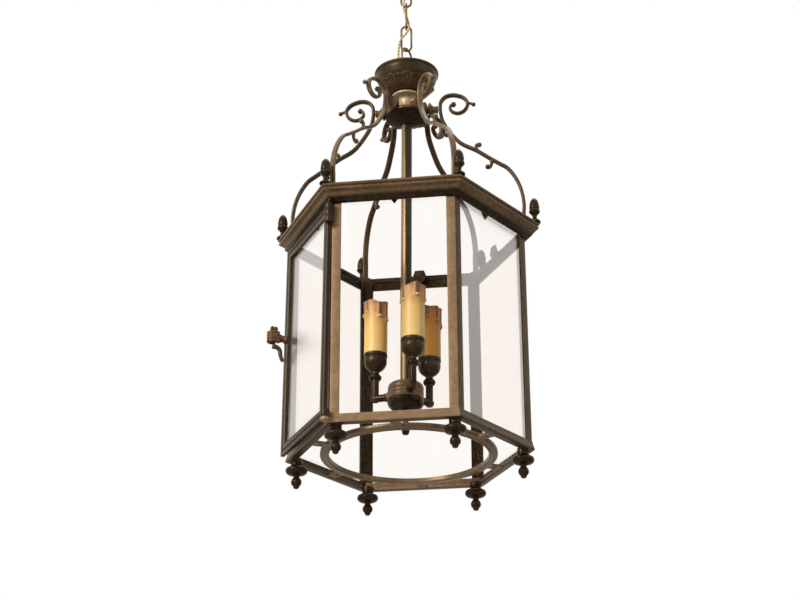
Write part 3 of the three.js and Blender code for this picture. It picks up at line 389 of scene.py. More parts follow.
waxLook = {
    "foot": (1.0, 0.71, 0.26),
    "middle": (0.98, 0.65, 0.21),
    "top": (0.67, 0.335, 0.10),
    "burnt": (0.10, 0.032, 0.011),
    "singed": (0.34, 0.135, 0.045),
    # Painted highlight on the bead at the foot of each run
    "beadGlint": (1.0, 0.80, 0.52),
    "fade": (0.030, 0.054, 0.063),  # metres up the sleeve where each colour sets in
    # Painted shade for each sleeve, 1 being fully lit
    "shades": (0.93, 1.0, 0.58),
}


# Wax with browned tops; a sleeve with a shade below 1 is painted darker and warmer as painted shade
def agedWax(name, footZ, shade):
    finish = Finish(name)
    up = finish.height() - footZ
    cloudy = finish.noise(9.0, 4.0)
    up = up + (cloudy - 0.5) * 0.014
    low, mid, high = waxLook["fade"]
    lower = finish.mix(up.step(0.0, low), waxLook["foot"], waxLook["middle"])
    upper = finish.mix(up.step(low, mid), lower, waxLook["top"])
    color = finish.mix(up.step(mid, high) * 0.6, upper, waxLook["singed"])
    raised = finish.node("ShaderNodeAttribute", {"attribute_name": "run"}, out="Fac")
    color = finish.mix(raised.step(0.3, 0.75) * 0.85, color, waxLook["burnt"])
    # Painted highlight where each run ends in a bead
    beadGlint = finish.node("ShaderNodeAttribute", {"attribute_name": "beadGlint"}, out="Fac")
    color = finish.mix(beadGlint.step(0.3, 0.8), color, waxLook["beadGlint"])
    # Painted shade: the tint that darkens and warms a sleeve hanging away from the lamp
    shadeTint = (shade ** 0.7, shade ** 1.4, shade ** 3.2)
    color = finish.mix(1.0, color, shadeTint, "MULTIPLY")
    fine = finish.noise(1.6, 3.0)
    values = {
        "Base Color": color,
        "Roughness": 0.34 + cloudy * 0.2,
        "Subsurface Weight": 0.12,
        "Subsurface Radius": (1.0, 0.45, 0.2),
        "Subsurface Scale": 0.002,
        "Normal": finish.bump(fine * 0.5 + cloudy * 0.5, 0.25, 0.3),
    }
    return finish.coat(values)


def blackMoulding(name):
    finish = Finish(name)
    mottle = finish.noise(3.0, 3.0)
    values = {
        "Base Color": finish.mix(mottle.step(0.4, 0.7), (0.018, 0.015, 0.012), (0.045, 0.037, 0.03)),
        "Roughness": 0.25 + mottle * 0.25,
        "Normal": finish.bump(mottle, 0.08, 0.2),
    }
    return finish.coat(values)


def goldBraid(name):
    finish = Finish(name)
    grooveShade = finish.node("ShaderNodeAttribute", {"attribute_name": "grooveShade"}, out="Fac")
    thread = finish.noise(0.35, 2.0)
    # The grooves between the two cores are painted shade
    color = finish.mix(grooveShade.step(0.15, 0.8), (0.74, 0.52, 0.22), (0.20, 0.115, 0.035))
    color = finish.mix(thread.step(0.4, 0.7) * 0.4, color, (0.92, 0.74, 0.40))
    values = {
        "Base Color": color,
        "Metallic": 0.25,
        "Roughness": 0.42 + thread * 0.2,
        "Sheen Weight": 0.3,
        "Normal": finish.bump(thread, 0.35, 0.12),
    }
    return finish.coat(values)


holderBlack = blackMoulding("holderBlack")
flexGold = goldBraid("flexGold")
print("finishes made")


# Shaping: every helper adds to a bmesh in millimetres

# Rounds the corners of an outline, each with a short arc
def soften(outline, radius, closed=True, steps=3):
    points = [Vector(p) for p in outline]
    count = len(points)
    result = []
    for i, corner in enumerate(points):
        if not closed and i in (0, count - 1):
            result.append(tuple(corner))
            continue
        before = points[i - 1] - corner
        after = points[(i + 1) % count] - corner
        cut = min(radius, before.length * 0.45, after.length * 0.45)
        start = corner + before.normalized() * cut
        end = corner + after.normalized() * cut
        for k in range(steps + 1):
            t = k / steps
            result.append(tuple(start * (1 - t) ** 2 + corner * 2 * t * (1 - t) + end * t * t))
    return result


# A centripetal curve through points, as even steps of its parameter
def curveThrough(points, perSpan=6, closed=False):
    given = [Vector(p) for p in points]
    count = len(given)

    def at(i):
        if closed:
            return given[i % count]
        if i < 0:
            return given[0] * 2 - given[1]
        if i >= count:
            return given[-1] * 2 - given[-2]
        return given[i]

    result = []
    for i in range(count if closed else count - 1):
        a, b, c, d = at(i - 1), at(i), at(i + 1), at(i + 2)
        ab, bc, cd = [max((q - p).length, 1e-6) ** 0.5 for p, q in ((a, b), (b, c), (c, d))]
        startSlope = ((b - a) / ab - (c - a) / (ab + bc) + (c - b) / bc) * bc
        endSlope = ((c - b) / bc - (d - b) / (bc + cd) + (d - c) / cd) * bc
        for k in range(perSpan):
            t = k / perSpan
            t2, t3 = t * t, t * t * t
            result.append(b * (2 * t3 - 3 * t2 + 1) + startSlope * (t3 - 2 * t2 + t)
                          + c * (3 * t2 - 2 * t3) + endSlope * (t3 - t2))
    if not closed:
        result.append(given[-1])
    return result


# The same for a profile of (out, up) points
def sideCurve(points, perSpan=6):
    return [(p.x, p.y) for p in curveThrough([(out, up, 0) for out, up in points], perSpan)]


def oblong(long, wide, radius, steps=3):
    x, y = long / 2, wide / 2
    return soften([(-x, -y), (x, -y), (x, y), (-x, y)], radius, steps=steps)


def bridge(mesh, first, second, closed=True):
    count = len(first)
    faces = []
    for i in range(count if closed else count - 1):
        k = (i + 1) % count
        corners = []
        for vert in (first[i], first[k], second[k], second[i]):
            if vert not in corners:
                corners.append(vert)
        if len(corners) > 2:
            faces.append(mesh.faces.new(corners))
    return faces


# A turned shape: profile is (radius, height) points; a profile off the axis closes on itself
def lathe(mesh, profile, steps=48, shape=None, place=None):
    place = place or Matrix.Identity(4)
    columns = []
    for k in range(steps):
        angle = turn * k / steps
        column = []
        for i, (radius, height) in enumerate(profile):
            if radius < 1e-6 and columns:
                column.append(columns[0][i])
                continue
            if shape:
                radius, height = shape(radius, height, angle)
            spot = Vector((radius * math.cos(angle), radius * math.sin(angle), height))
            column.append(mesh.verts.new(place @ spot))
        columns.append(column)
    closed = profile[0][0] > 1e-6 and profile[-1][0] > 1e-6
    for k in range(steps):
        bridge(mesh, columns[k], columns[(k + 1) % steps], closed)
    return columns


# A solid round bar between two heights, its rims eased
def rod(mesh, radius, low, high, ease, steps, place=None):
    profile = soften([(0, low), (radius, low), (radius, high), (0, high)], ease, closed=False)
    lathe(mesh, profile, steps, place=place)


# A section carried along a path; upright is the section's first axis where the path is flat
def sweep(mesh, path, section, upright=None, closed=False, scale=None, twist=0.0):
    count = len(path)
    loops = []
    side = None
    for i, spot in enumerate(path):
        ahead = path[(i + 1) % count] if closed or i < count - 1 else spot
        behind = path[i - 1] if closed or i else spot
        along = (ahead - behind).normalized()
        if upright is not None:
            side = (upright - along * upright.dot(along)).normalized()
        elif side is None:
            pick = Vector((0, 0, 1)) if abs(along.z) < 0.9 else Vector((1, 0, 0))
            side = along.cross(pick).normalized()
        else:
            side = (side - along * side.dot(along)).normalized()
        normal = along.cross(side)
        share = i / max(count - 1, 1)
        size = scale(share) if scale else (1.0, 1.0)
        c, s = math.cos(twist * i), math.sin(twist * i)
        cut = []
        for a, b in section:
            u, v = a * c - b * s, a * s + b * c
            cut.append(mesh.verts.new(spot + side * (u * size[0]) + normal * (v * size[1])))
        loops.append(cut)
    for i in range(count if closed else count - 1):
        bridge(mesh, loops[i], loops[(i + 1) % count])
    if not closed:
        mesh.faces.new(loops[0])
        mesh.faces.new(loops[-1])
    return loops


def ring(radius, sides=12):
    angles = [turn * k / sides for k in range(sides)]
    return [(radius * math.cos(a), radius * math.sin(a)) for a in angles]


# One size for both ways of a section, from start to end of its path
def narrowing(start, end):
    return lambda share: (start + (end - start) * share,) * 2


def ball(mesh, radii, center, around=20, down=12):
    place = Matrix.Translation(center) @ Matrix.Diagonal((*radii, 1))
    bmesh.ops.create_uvsphere(mesh, u_segments=around, v_segments=down, radius=1, matrix=place)


def cuboid(mesh, sizes, center, place=None):
    matrix = (place or Matrix.Identity(4)) @ Matrix.Translation(center) @ Matrix.Diagonal((*sizes, 1))
    return bmesh.ops.create_cube(mesh, size=1, matrix=matrix)["verts"]


# A mitred frame of six sides: profile is (distance of the side from the axis, height) points
def hexRail(mesh, profile):
    loops = []
    for k in range(6):
        angle = turn * k / 6
        loops.append([mesh.verts.new((d / cos30 * math.cos(angle), d / cos30 * math.sin(angle), z))
                      for d, z in profile])
    for k in range(6):
        bridge(mesh, loops[k], loops[(k + 1) % 6])


# A mitred frame of four sides in the XZ plane: profile is (inset from the edge, Y) points
def doorRail(mesh, low, high, profile):
    corners = []
    for x, z, inX, inZ in ((low[0], low[1], 1, 1), (high[0], low[1], -1, 1),
                           (high[0], high[1], -1, -1), (low[0], high[1], 1, -1)):
        corners.append([mesh.verts.new((x + inX * inset, y, z + inZ * inset)) for inset, y in profile])
    for k in range(4):
        bridge(mesh, corners[k], corners[(k + 1) % 4])


# A flat outline extruded: axis names the thickness direction
def slab(mesh, outline, low, high, axis="Y"):
    def lift(u, v, w):
        return {"X": (w, u, v), "Y": (u, w, v), "Z": (u, v, w)}[axis]
    first = [mesh.verts.new(lift(u, v, low)) for u, v in outline]
    second = [mesh.verts.new(lift(u, v, high)) for u, v in outline]
    bridge(mesh, first, second)
    mesh.faces.new(first)
    mesh.faces.new(second)


# Turns the vertices from number start on round the lantern's axis
def turnNew(mesh, start, degrees):
    mesh.verts.ensure_lookup_table()
    bmesh.ops.rotate(mesh, verts=mesh.verts[start:], cent=(0, 0, 0),
                     matrix=Matrix.Rotation(math.radians(degrees), 3, "Z"))


# Places and finishing

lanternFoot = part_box("base_ring")[0].z
hinge = [joint for joint in frame["joints"] if joint["name"] == "door_hinge"][0]
lean = {"chainTurn": 8.0, "doorLean": 0.5, "doorAjar": 1.0, "stemLean": 0.5, "stemPivot": 468.8}


def spin(degrees, axis="Z"):
    return Matrix.Rotation(math.radians(degrees), 4, axis)


def shift(x, y, z):
    return Matrix.Translation((x, y, z))


toMetres = Matrix.Diagonal((mm, mm, mm, 1))
inLantern = shift(0, 0, lanternFoot) @ toMetres
inChain = spin(lean["chainTurn"]) @ toMetres
inDoor = (Matrix.Translation(hinge["pos_m"]) @ spin(120) @ spin(lean["doorLean"], "X")
          @ spin(lean["doorAjar"]) @ toMetres)
inCluster = (inLantern @ shift(0, 0, lean["stemPivot"]) @ spin(lean["stemLean"], "Y")
             @ shift(0, 0, -lean["stemPivot"]))


def newMesh():
    return bmesh.new()


def makeObject(name, mesh, place, material, crease=38.0, bevel=None):
    bmesh.ops.remove_doubles(mesh, verts=mesh.verts, dist=1e-4)
    bmesh.ops.recalc_face_normals(mesh, faces=mesh.faces)
    mesh.transform(place)
    data = bpy.data.meshes.new(name)
    mesh.to_mesh(data)
    mesh.free()
    for one in material if isinstance(material, (list, tuple)) else [material]:
        data.materials.append(one)
    made = bpy.data.objects.new(name, data)
    bpy.context.scene.collection.objects.link(made)
    data.polygons.foreach_set("use_smooth", [True] * len(data.polygons))
    data.set_sharp_from_angle(angle=math.radians(crease))
    if bevel:
        edge = made.modifiers.new("edge", "BEVEL")
        edge.width = bevel * mm
        edge.segments = 2
        edge.limit_method = "ANGLE"
        edge.angle_limit = math.radians(crease)
    return made


# What a finer piece rides on, and the solid that it stands for
def enrol(made, rides, node):
    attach(made, rides)
    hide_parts(node)


def dress(name, mesh, place, material, rides, node, crease=38.0, bevel=None):
    enrol(makeObject(name, mesh, place, material, crease, bevel), rides, node)


# Camera, worked out from the photograph's vanishing lines
view = {
    "spot": (0.2430, -1.8442, -1.3407),
    "azimuth": 7.790,
    "tilt": 24.188,
    "roll": -0.230,
    "lens": 79.29,
}


def addCamera():
    data = bpy.data.cameras.new("camera")
    data.lens = view["lens"]
    data.sensor_width = 36.0
    data.clip_start = 0.05
    data.clip_end = 60.0
    camera = bpy.data.objects.new("camera", data)
    bpy.context.scene.collection.objects.link(camera)
    turned = spin(view["azimuth"]) @ spin(90 + view["tilt"], "X") @ spin(view["roll"])
    camera.matrix_world = Matrix.Translation(view["spot"]) @ turned
    bpy.context.scene.camera = camera


addCamera()
print("camera placed")

# Ceiling fitting
rose = {"radius": 50.0, "depth": 32.0, "sheet": 1.6, "boss": 7.3, "hole": 3.3, "outlet": 17.0}
hook = {"strap": (60.0, 16.0, 2.0), "screws": 44.0, "shank": 3.0, "nutTop": -32.3, "nut": 7.0,
        "wire": 2.5, "bend": 11.5, "bendTop": -49.3, "barZ": -72.3}


def addCeilingRose():
    mesh = newMesh()
    r, depth, sheet = rose["radius"], rose["depth"], rose["sheet"]
    outer = sideCurve([(r, -2.2), (r * 0.93, -depth * 0.35), (r * 0.76, -depth * 0.66),
                       (r * 0.46, -depth * 0.91), (rose["boss"], -depth)])
    inner = [(max(a - sheet * (0.3 + 0.7 * a / r), rose["hole"] + 1), b + sheet) for a, b in reversed(outer)]
    profile = [(r - 0.4, 0), (r, -0.5), (r, -1.4)] + outer + [(rose["hole"], -depth)]
    profile += [(rose["hole"], -depth + sheet)] + inner[1:] + [(r - sheet, 0)]
    lathe(mesh, profile, 72)
    outlet = shift(rose["outlet"], 0, -depth * 0.93)
    lathe(mesh, soften([(1.9, -2.6), (3.4, -2.6), (3.4, 2.2), (1.9, 2.2)], 0.5), 24, place=outlet)
    dress("rose", mesh, inChain, metals["paleBronze"], "ceiling", "ceiling_rose")


def addCeilingHook():
    mesh = newMesh()
    long, wide, thick = hook["strap"]
    slab(mesh, oblong(long, wide, 5.0, 5), -thick, 0, "Z")
    for side in (-1, 1):
        head = shift(side * hook["screws"] / 2, 0, -thick)
        lathe(mesh, [(0, 0.2), (4.2, 0.2), (4.1, -0.5), (3.2, -1.6), (1.6, -2.2), (0, -2.3)], 24, place=head)
    top = hook["nutTop"]
    shank, shankFoot = hook["shank"], hook["bendTop"] - 0.5
    lathe(mesh, [(0, -1), (shank, -1), (shank, shankFoot), (0, shankFoot)], 24)
    lathe(mesh, soften([(0, top), (hook["nut"], top), (hook["nut"], top - 3.6), (hook["nut"] - 2, top - 5),
                        (0, top - 5)], 0.5, closed=False), 6)
    bend = hook["bend"]
    centerZ = hook["barZ"] + bend
    angles = [math.radians(a) for a in (*range(-80, 101, 20), 115)]
    around = [(bend * math.sin(a), 0, centerZ - bend * math.cos(a)) for a in angles]
    path = curveThrough([(0, 0, hook["bendTop"] + 4), (-1.5, 0, shankFoot),
                         (-bend * 0.62, 0, centerZ + bend * 0.62)] + around, 4)
    sweep(mesh, path, ring(hook["wire"], 16), Vector((0, 1, 0)),
          scale=lambda share: (1 - max(0.0, share - 0.93) * 6,) * 2)
    dress("hook", mesh, inChain @ spin(90), metals["darkBronze"], "ceiling", "ceiling_hook",
          bevel=0.3)


addCeilingRose()
addCeilingHook()
print("ceiling fitting made")

# Chain and the loop
link = {"wire": 2.7, "long": 38.0, "wide": 15.0, "firstTop": -66.8, "pitch": 32.3}
loop = {"turn": 58.0, "wide": 20.0, "wire": 2.7, "rise": 62.7, "plate": 12.0, "plateZ": 496.9,
        "plateTop": 501.0, "shank": 5.0, "shankFoot": 476.6, "bore": 2.2}


def addLink(name, node, index, rides):
    mesh = newMesh()
    wire = link["wire"] / 2
    endR = link["wide"] / 2 - wire
    straight = (link["long"] - link["wide"]) / 2
    path = []
    for end, first in ((-1, 180), (1, 0)):
        for k in range(13):
            angle = math.radians(first + 15 * k)
            path.append(Vector((endR * math.cos(angle), 0, end * straight + endR * math.sin(angle))))
    sweep(mesh, path, ring(wire, 14), Vector((0, 1, 0)), closed=True)
    seam = [(wire - 0.2, -0.5), (wire + 0.12, -0.25), (wire + 0.12, 0.25), (wire - 0.2, 0.5)]
    lathe(mesh, seam, 14, place=shift(endR, 0, 0))
    middle = link["firstTop"] - link["long"] / 2 - index * link["pitch"]
    place = inChain @ spin(0 if index % 2 == 0 else 90) @ shift(0, 0, middle)
    dress(name, mesh, place, metals["linkBrass"], rides, node, crease=60)


def addLoop():
    mesh = newMesh()
    bendR = (loop["wide"] - loop["wire"]) / 2
    bendZ = loop["plateTop"] + loop["rise"] - loop["wide"] / 2
    path = [Vector((-bendR, 0, loop["plateTop"] - 0.4)), Vector((-bendR, 0, bendZ - 10))]
    for k in range(25):
        angle = math.pi * k / 24
        path.append(Vector((-bendR * math.cos(angle), 0, bendZ + bendR * math.sin(angle))))
    path += [Vector((bendR, 0, bendZ - 10)), Vector((bendR, 0, loop["plateTop"] - 0.4))]
    sweep(mesh, path, ring(loop["wire"] / 2, 14), Vector((0, 1, 0)))
    for side in (-1, 1):
        foot = shift(side * bendR, 0, loop["plateTop"])
        lathe(mesh, [(0, -0.3), (2.4, -0.3), (2.3, 0.5), (1.5, 1.2), (0, 1.2)], 18, place=foot)
    plate, bore = loop["plate"], loop["bore"]
    lathe(mesh, soften([(bore, loop["plateTop"]), (plate, loop["plateTop"]), (plate, loop["plateZ"]),
                        (loop["shank"], loop["plateZ"]), (loop["shank"], loop["shankFoot"]),
                        (bore, loop["shankFoot"])], 0.7), 40)
    dress("hangingLoop", mesh, inLantern @ spin(loop["turn"]), metals["linkBrass"], "lantern", "top_loop",
          crease=50)


for index, height in enumerate(("top", "middle", "bottom")):
    addLink(f"link{height.title()}", f"chain_link_{height}", index, f"link_{height}")
addLoop()
print("chain and loop made")

# Cup with its leaves, collar, hub and bowl
cup = {"foot": 494.3, "tall": 31.7, "rim": 39.3, "base": 19.0, "hole": 5.3, "sheet": 2.0, "floor": 2.3,
       "steps": 432, "beads": 72, "beadDeep": 0.45}
leaf = {
    "count": 9,
    "tall": 0.45,  # as a share of the cup's height
    "relief": 1.5,
    "shown": 0.35,  # relief from which the lighter metal shows
    "rows": ((0.0, 1.0, 0.47, 1.0), (0.5, 1.16, 0.40, 0.6)),  # turn, reach, half width and relief
    "lobe": 0.20,
    "rib": (0.35, 0.035),
    "vein": 0.18,
    "curl": (0.9, 0.9, 0.12),  # relief, place and length of the tip that rolls outward
}
collar = {"foot": 468.8, "tall": 25.2, "core": 9.8, "flare": 18.3, "bore": 5.3, "socket": 8.8,
          "socketTop": 476.3}
hub = {"foot": 465.3, "plateTop": 468.5, "top": 476.0, "radius": 25.5, "boss": 8.5, "socket": 6.65,
       "socketTop": 472.6, "bore": 2.2, "spoolZ": 472.7, "lugCircle": 21.9, "lugZ": 475.65,
       "lug": (3.9, 4.5, 8.85)}
spool = {"flange": 9.0, "flangeAt": 28.5, "waist": 3.85, "end": 38.25}
bowl = {"top": 465.0, "radius": 26.0, "deep": 12.0, "flutes": 32, "fluteFrom": 0.09, "fluteDeep": 0.085,
        "bore": 6.65}


# How far the leaves stand out of the cup at a height share and an angle
def leafRelief(share, angle):
    stand = 0.0
    for offset, reach, widest, weight in leaf["rows"]:
        across = (angle / turn * leaf["count"] + offset) % 1.0 - 0.5
        up = max(share, 0.0) / (leaf["tall"] * reach)
        if up > 1.0:
            continue
        half = widest * math.sqrt(max(0.0, 1 - up ** 2.6)) * (1 + leaf["lobe"] * math.cos(up * 15.0))
        if half <= abs(across) or half <= 0.01:
            continue
        inside = 1 - (abs(across) / half) ** 4
        ribHigh, ribWide = leaf["rib"]
        rib = ribHigh * math.exp(-(across / ribWide) ** 2)
        vein = leaf["vein"] * math.cos((abs(across) * 3.2 - up * 2.6) * 9.0)
        curlHigh, curlAt, curlLong = leaf["curl"]
        curl = curlHigh * math.exp(-((up - curlAt) / curlLong) ** 2)
        height = inside ** 0.35 * (0.55 + 0.35 * up + rib + vein + curl) * weight
        stand = max(stand, height)
    return stand * leaf["relief"]


def addCup():
    mesh = newMesh()
    foot, tall, rim = cup["foot"], cup["tall"], cup["rim"]
    outer = sideCurve([(cup["base"], foot), (rim * 0.64, foot + tall * 0.15),
                       (rim * 0.77, foot + tall * 0.34), (rim * 0.87, foot + tall * 0.555),
                       (rim * 0.93, foot + tall * 0.75), (rim * 0.965, foot + tall * 0.89),
                       (rim - 0.2, foot + tall - 2.2)], 9)
    inner = [(r - cup["sheet"], z + (0.4 if r < 30 else 0)) for r, z in reversed(outer)][1:-1]
    inner = [(r, max(z, foot + cup["floor"])) for r, z in inner]
    lip = [(rim - 0.5, foot + tall - 1.9), (rim, foot + tall - 1.5), (rim, foot + tall - 0.7),
           (rim - 0.4, foot + tall), (rim - 1.6, foot + tall), (rim - 2.0, foot + tall - 0.8)]
    profile = [(cup["hole"], foot), (cup["base"] - 2, foot)] + outer + lip + inner
    profile += [(cup["base"] - 3, foot + cup["floor"]), (cup["hole"], foot + cup["floor"])]
    profile = [(max(r, cup["hole"]), z) for r, z in profile]
    outerSet = {(round(r, 4), round(z, 4)) for r, z in outer}
    lipSet = {(round(r, 4), round(z, 4)) for r, z in lip[1:3]}

    def shape(radius, height, angle):
        key = (round(radius, 4), round(height, 4))
        if key in outerSet:
            share = (height - foot) / tall
            return radius + leafRelief(share, angle), height
        if key in lipSet:
            dip = 0.5 - 0.5 * math.cos(angle * cup["beads"])
            return radius - cup["beadDeep"] * dip, height
        return radius, height

    lathe(mesh, profile, cup["steps"], shape)
    for face in mesh.faces:
        middle = face.calc_center_median()
        stand = leafRelief((middle.z - foot) / tall, math.atan2(middle.y, middle.x))
        if stand > leaf["shown"] and middle.xy.length > cup["base"]:
            face.material_index = 1
    finishes = [metals["ballBronze"], metals["leafBronze"]]
    dress("cup", mesh, inLantern, finishes, "lantern", "top_cup", crease=50)


def addCollar():
    mesh = newMesh()
    foot, top = collar["foot"], collar["foot"] + collar["tall"]
    core, flare = collar["core"], collar["flare"]
    profile = [(collar["socket"], foot), (core + 0.9, foot), (core + 0.9, foot + 2), (core, foot + 3.2),
               (core, top - 8), (core + 0.5, top - 6.4), (core + 1.9, top - 4.9), (flare - 2.3, top - 3.5),
               (flare, top - 2.6), (flare, top - 0.8), (flare - 0.8, top), (collar["bore"], top),
               (collar["bore"], collar["socketTop"]), (collar["socket"], collar["socketTop"])]
    lathe(mesh, soften(profile, 0.9), 72)
    dress("collar", mesh, inLantern, metals["collarBrass"], "lantern", "collar")


def addHub():
    mesh = newMesh()
    foot, top, r = hub["foot"], hub["top"], hub["radius"]
    plate = [(hub["socket"], foot), (r, foot), (r, hub["plateTop"]), (hub["boss"], hub["plateTop"]),
             (hub["boss"], top), (hub["bore"], top), (hub["bore"], hub["socketTop"]),
             (hub["socket"], hub["socketTop"])]
    lathe(mesh, soften(plate, 0.5), 72)
    petal = sideCurve([(0, -1), (0.62, -0.84), (0.94, -0.5), (1, 0), (0.86, 0.5), (0.5, 0.85), (0, 1)], 4)
    start, at, end = hub["lugCircle"], spool["flangeAt"], spool["end"]
    waist, flange = spool["waist"], spool["flange"]
    turned = [(0, start), (waist + 0.5, start), (waist + 0.5, at - 2.2), (flange - 0.8, at - 1.3),
              (flange, at - 0.4), (flange, at + 0.5), (flange - 1.1, at + 1.3), (waist + 1.8, at + 3.1),
              (waist + 0.2, at + 5.2), (waist + 0.1, end - 2.6), (waist + 0.9, end - 1.8),
              (waist + 0.7, end), (0, end)]
    turned = soften(turned, 0.5, closed=False, steps=2)
    for k in range(6):
        around = spin(60 * k)
        lug = around @ shift(start, 0, hub["lugZ"]) @ Matrix.Diagonal((*hub["lug"], 1))
        lathe(mesh, petal, 24, place=lug)
        lathe(mesh, turned, 28, place=around @ shift(0, 0, hub["spoolZ"]) @ spin(90, "Y"))
    dress("hub", mesh, inLantern, metals["beadBronze"], "lantern", "arm_hub", crease=44)


def addBowl():
    mesh = newMesh()
    top, r, deep = bowl["top"], bowl["radius"], bowl["deep"]
    curve = sideCurve([(1.0, 0), (0.995, -0.1), (0.96, -0.24), (0.83, -0.41), (0.66, -0.6), (0.47, -0.8),
                       (0.33, -1.0)])
    side = [(out * r, top + up * deep) for out, up in curve]
    rim = [(bowl["bore"], top), (r - 1.2, top), (r - 0.4, top - 0.2)]
    profile = rim + side[1:] + [(bowl["bore"], top - deep)]

    def shape(radius, height, angle):
        drop = (top - height) / deep - bowl["fluteFrom"]
        if radius < bowl["bore"] + 1 or drop < 0:
            return radius, height
        strength = min(1.0, drop * 9) * min(1.0, (0.95 - drop) * 8)
        rib = abs(math.sin(angle * bowl["flutes"] / 2)) ** 0.8
        return radius * (1 - bowl["fluteDeep"] * strength * (1 - rib)), height

    lathe(mesh, profile, bowl["flutes"] * 10, shape)
    dress("bowl", mesh, inLantern, metals["darkBronze"], "lantern", "fluted_bowl", crease=70)


addCup()
addCollar()
addHub()
addBowl()
print("cup, collar, hub and bowl made")

# Scrolled arms: drawn once in the XZ plane, [out from the foot or the spool, up from it]
arm = {
    "foot": (137.8, 304.8 + 4.2),
    "footPlate": (6.0, 12.0, 4.2),
    "hub": (40.9, 472.7),
    "wide": 7.0,
    "thick": 4.3,
    "eye": (3.3, 3.7, 3.3),
    "eyeAt": (16.2, 5.4),
    "litFrontOnes": (4, 5),  # painted light: paler bronze than the four behind, which take the darker bronze as painted shade
    "fromFoot": [(0, -0.5), (0, 18), (0.5, 25), (-0.6, 38), (-3.5, 51), (-8.9, 64)],
    "fromHub": [(79.3, -86.9), (70.5, -80.5), (58.8, -72.2), (43.2, -60.4), (24.5, -49), (13.6, -35.9),
                (3.3, -17.6), (0.6, -6), (0, 2), (1, 10), (6.2, 16.4), (13.6, 18.5), (21.6, 17.3), (29.4, 13),
                (33.4, 6), (31.6, -1.2), (26.8, -5.9), (20.4, -7.2), (14.8, -4.6), (12, 0.2), (13.4, 4.8)],
}


def fromHub(out, up):
    return arm["hub"][0] + out, 0, arm["hub"][1] + up


# A thin curl off the strap with a bead at its end
def tendril(mesh, points, ballAt, radius, ballR):
    path = curveThrough([fromHub(*point) for point in points], 5)
    sweep(mesh, path, ring(radius, 12), Vector((0, 1, 0)), scale=narrowing(1.25, 0.9))
    ball(mesh, (ballR, ballR, ballR), fromHub(*ballAt), 18, 12)


def addArm(index):
    mesh = newMesh()
    points = [(arm["foot"][0] + out, 0, arm["foot"][1] + up) for out, up in arm["fromFoot"]]
    points += [fromHub(*point) for point in arm["fromHub"]]
    half, thin = arm["wide"] / 2, arm["thick"] / 2
    section = [(half * math.copysign(abs(math.cos(a)) ** 0.62, math.cos(a)),
                thin * math.copysign(abs(math.sin(a)) ** 0.8, math.sin(a)))
               for a in (turn * k / 20 for k in range(20))]

    def taper(share):
        end = max(0.0, (share - 0.70) / 0.30)
        return 1 - 0.28 * end, 1 - 0.22 * end

    sweep(mesh, curveThrough(points, 6), section, Vector((0, 1, 0)), scale=taper)
    deep, wide, tall = arm["footPlate"]
    footX, footTop = arm["foot"]
    outline = [(footX + u, v) for u, v in oblong(deep, wide, 0.9)]
    slab(mesh, outline, footTop - tall, footTop, "Z")
    ball(mesh, arm["eye"], fromHub(*arm["eyeAt"]))
    tendril(mesh, [(32.6, 6.4), (36.2, 5.6), (40.2, 3.9)], (40.6, 3.7), 1.7, 2.7)
    tendril(mesh, [(43.8, -60.6), (42.6, -56), (43, -52.8), (46.2, -51)], (46.4, -52.6), 1.8, 3.0)
    tendril(mesh, [(60, -73.4), (60.6, -79), (58.4, -84), (55.2, -85)], (55.8, -83.2), 1.8, 3.0)
    # The front arms take the paler bronze as painted light, the others the darker one as painted shade
    skin = metals["paleBronze" if index in arm["litFrontOnes"] else "bronze"]
    dress(f"arm{index + 1}", mesh, inLantern @ spin(60 * index), skin, "lantern",
          f"scroll_arm_{index + 1}", crease=48)


for index in range(6):
    addArm(index)
print("arms made")

# Body: posts stand between the base ring's web and the cornice's ledge
body = {"fit": 0.3, "postFace": 119.1, "postLeg": 10.0, "postSheet": 2.3, "postFoot": 41.8,
        "postTop": 300.7, "pane": 4.0, "bevel": 10.0, "bevelDeep": 1.1, "paneFoot": 34.3, "paneTop": 299.0}
cornice = {"ledge": 301.0, "riser": 6.9, "ledgeReach": 2.1, "clip": 1.9}
base = {"flange": 31.0, "flangeSheet": 3.0, "reach": 4.9, "webTop": 41.5, "web": 2.8, "flare": 2.0,
        "dropCircle": 127.02, "boss": 6.5, "bossZ": 26.0, "earTop": 35.5, "earTall": 4.0}
circle = {"radius": 99.0, "wide": 10.0, "tall": 6.0, "tab": (11.0, 3.0)}
acorn = {"circle": 150.0, "foot": 311.3}
door = {"corner": 240.0, "wide": 135.0, "tall": 254.0, "gap": 3.25, "sheet": 4.5, "stile": 12.0,
        "rebate": 1.5, "barrel": 5.0, "barrelTall": 24.0, "knuckle": 4.3, "knuckleTall": 10.0, "bore": 1.8,
        "pin": 1.5, "pinLong": 10.0, "footGap": 0.5}
doorInLantern = inLantern.inverted() @ inDoor
# Paler bronze as painted light on front faces, darker bronze as painted shade on other faces; the middle one
# is painted shade inside posts and the drops' own colour
litAndShadedBronzes = [metals["tanBronze"], metals["brownBronze"], metals["bronze"]]


# Painted light: faces turned to the front keep the paler first bronze, and the other outer faces take the
# darker last one as painted shade
def paintFrontLight(mesh, faces, place):
    mesh.normal_update()
    bmesh.ops.recalc_face_normals(mesh, faces=mesh.faces)
    turned = place.to_3x3()
    for face in faces:
        if (turned @ face.normal).normalized().y > -0.75:
            face.material_index = 2


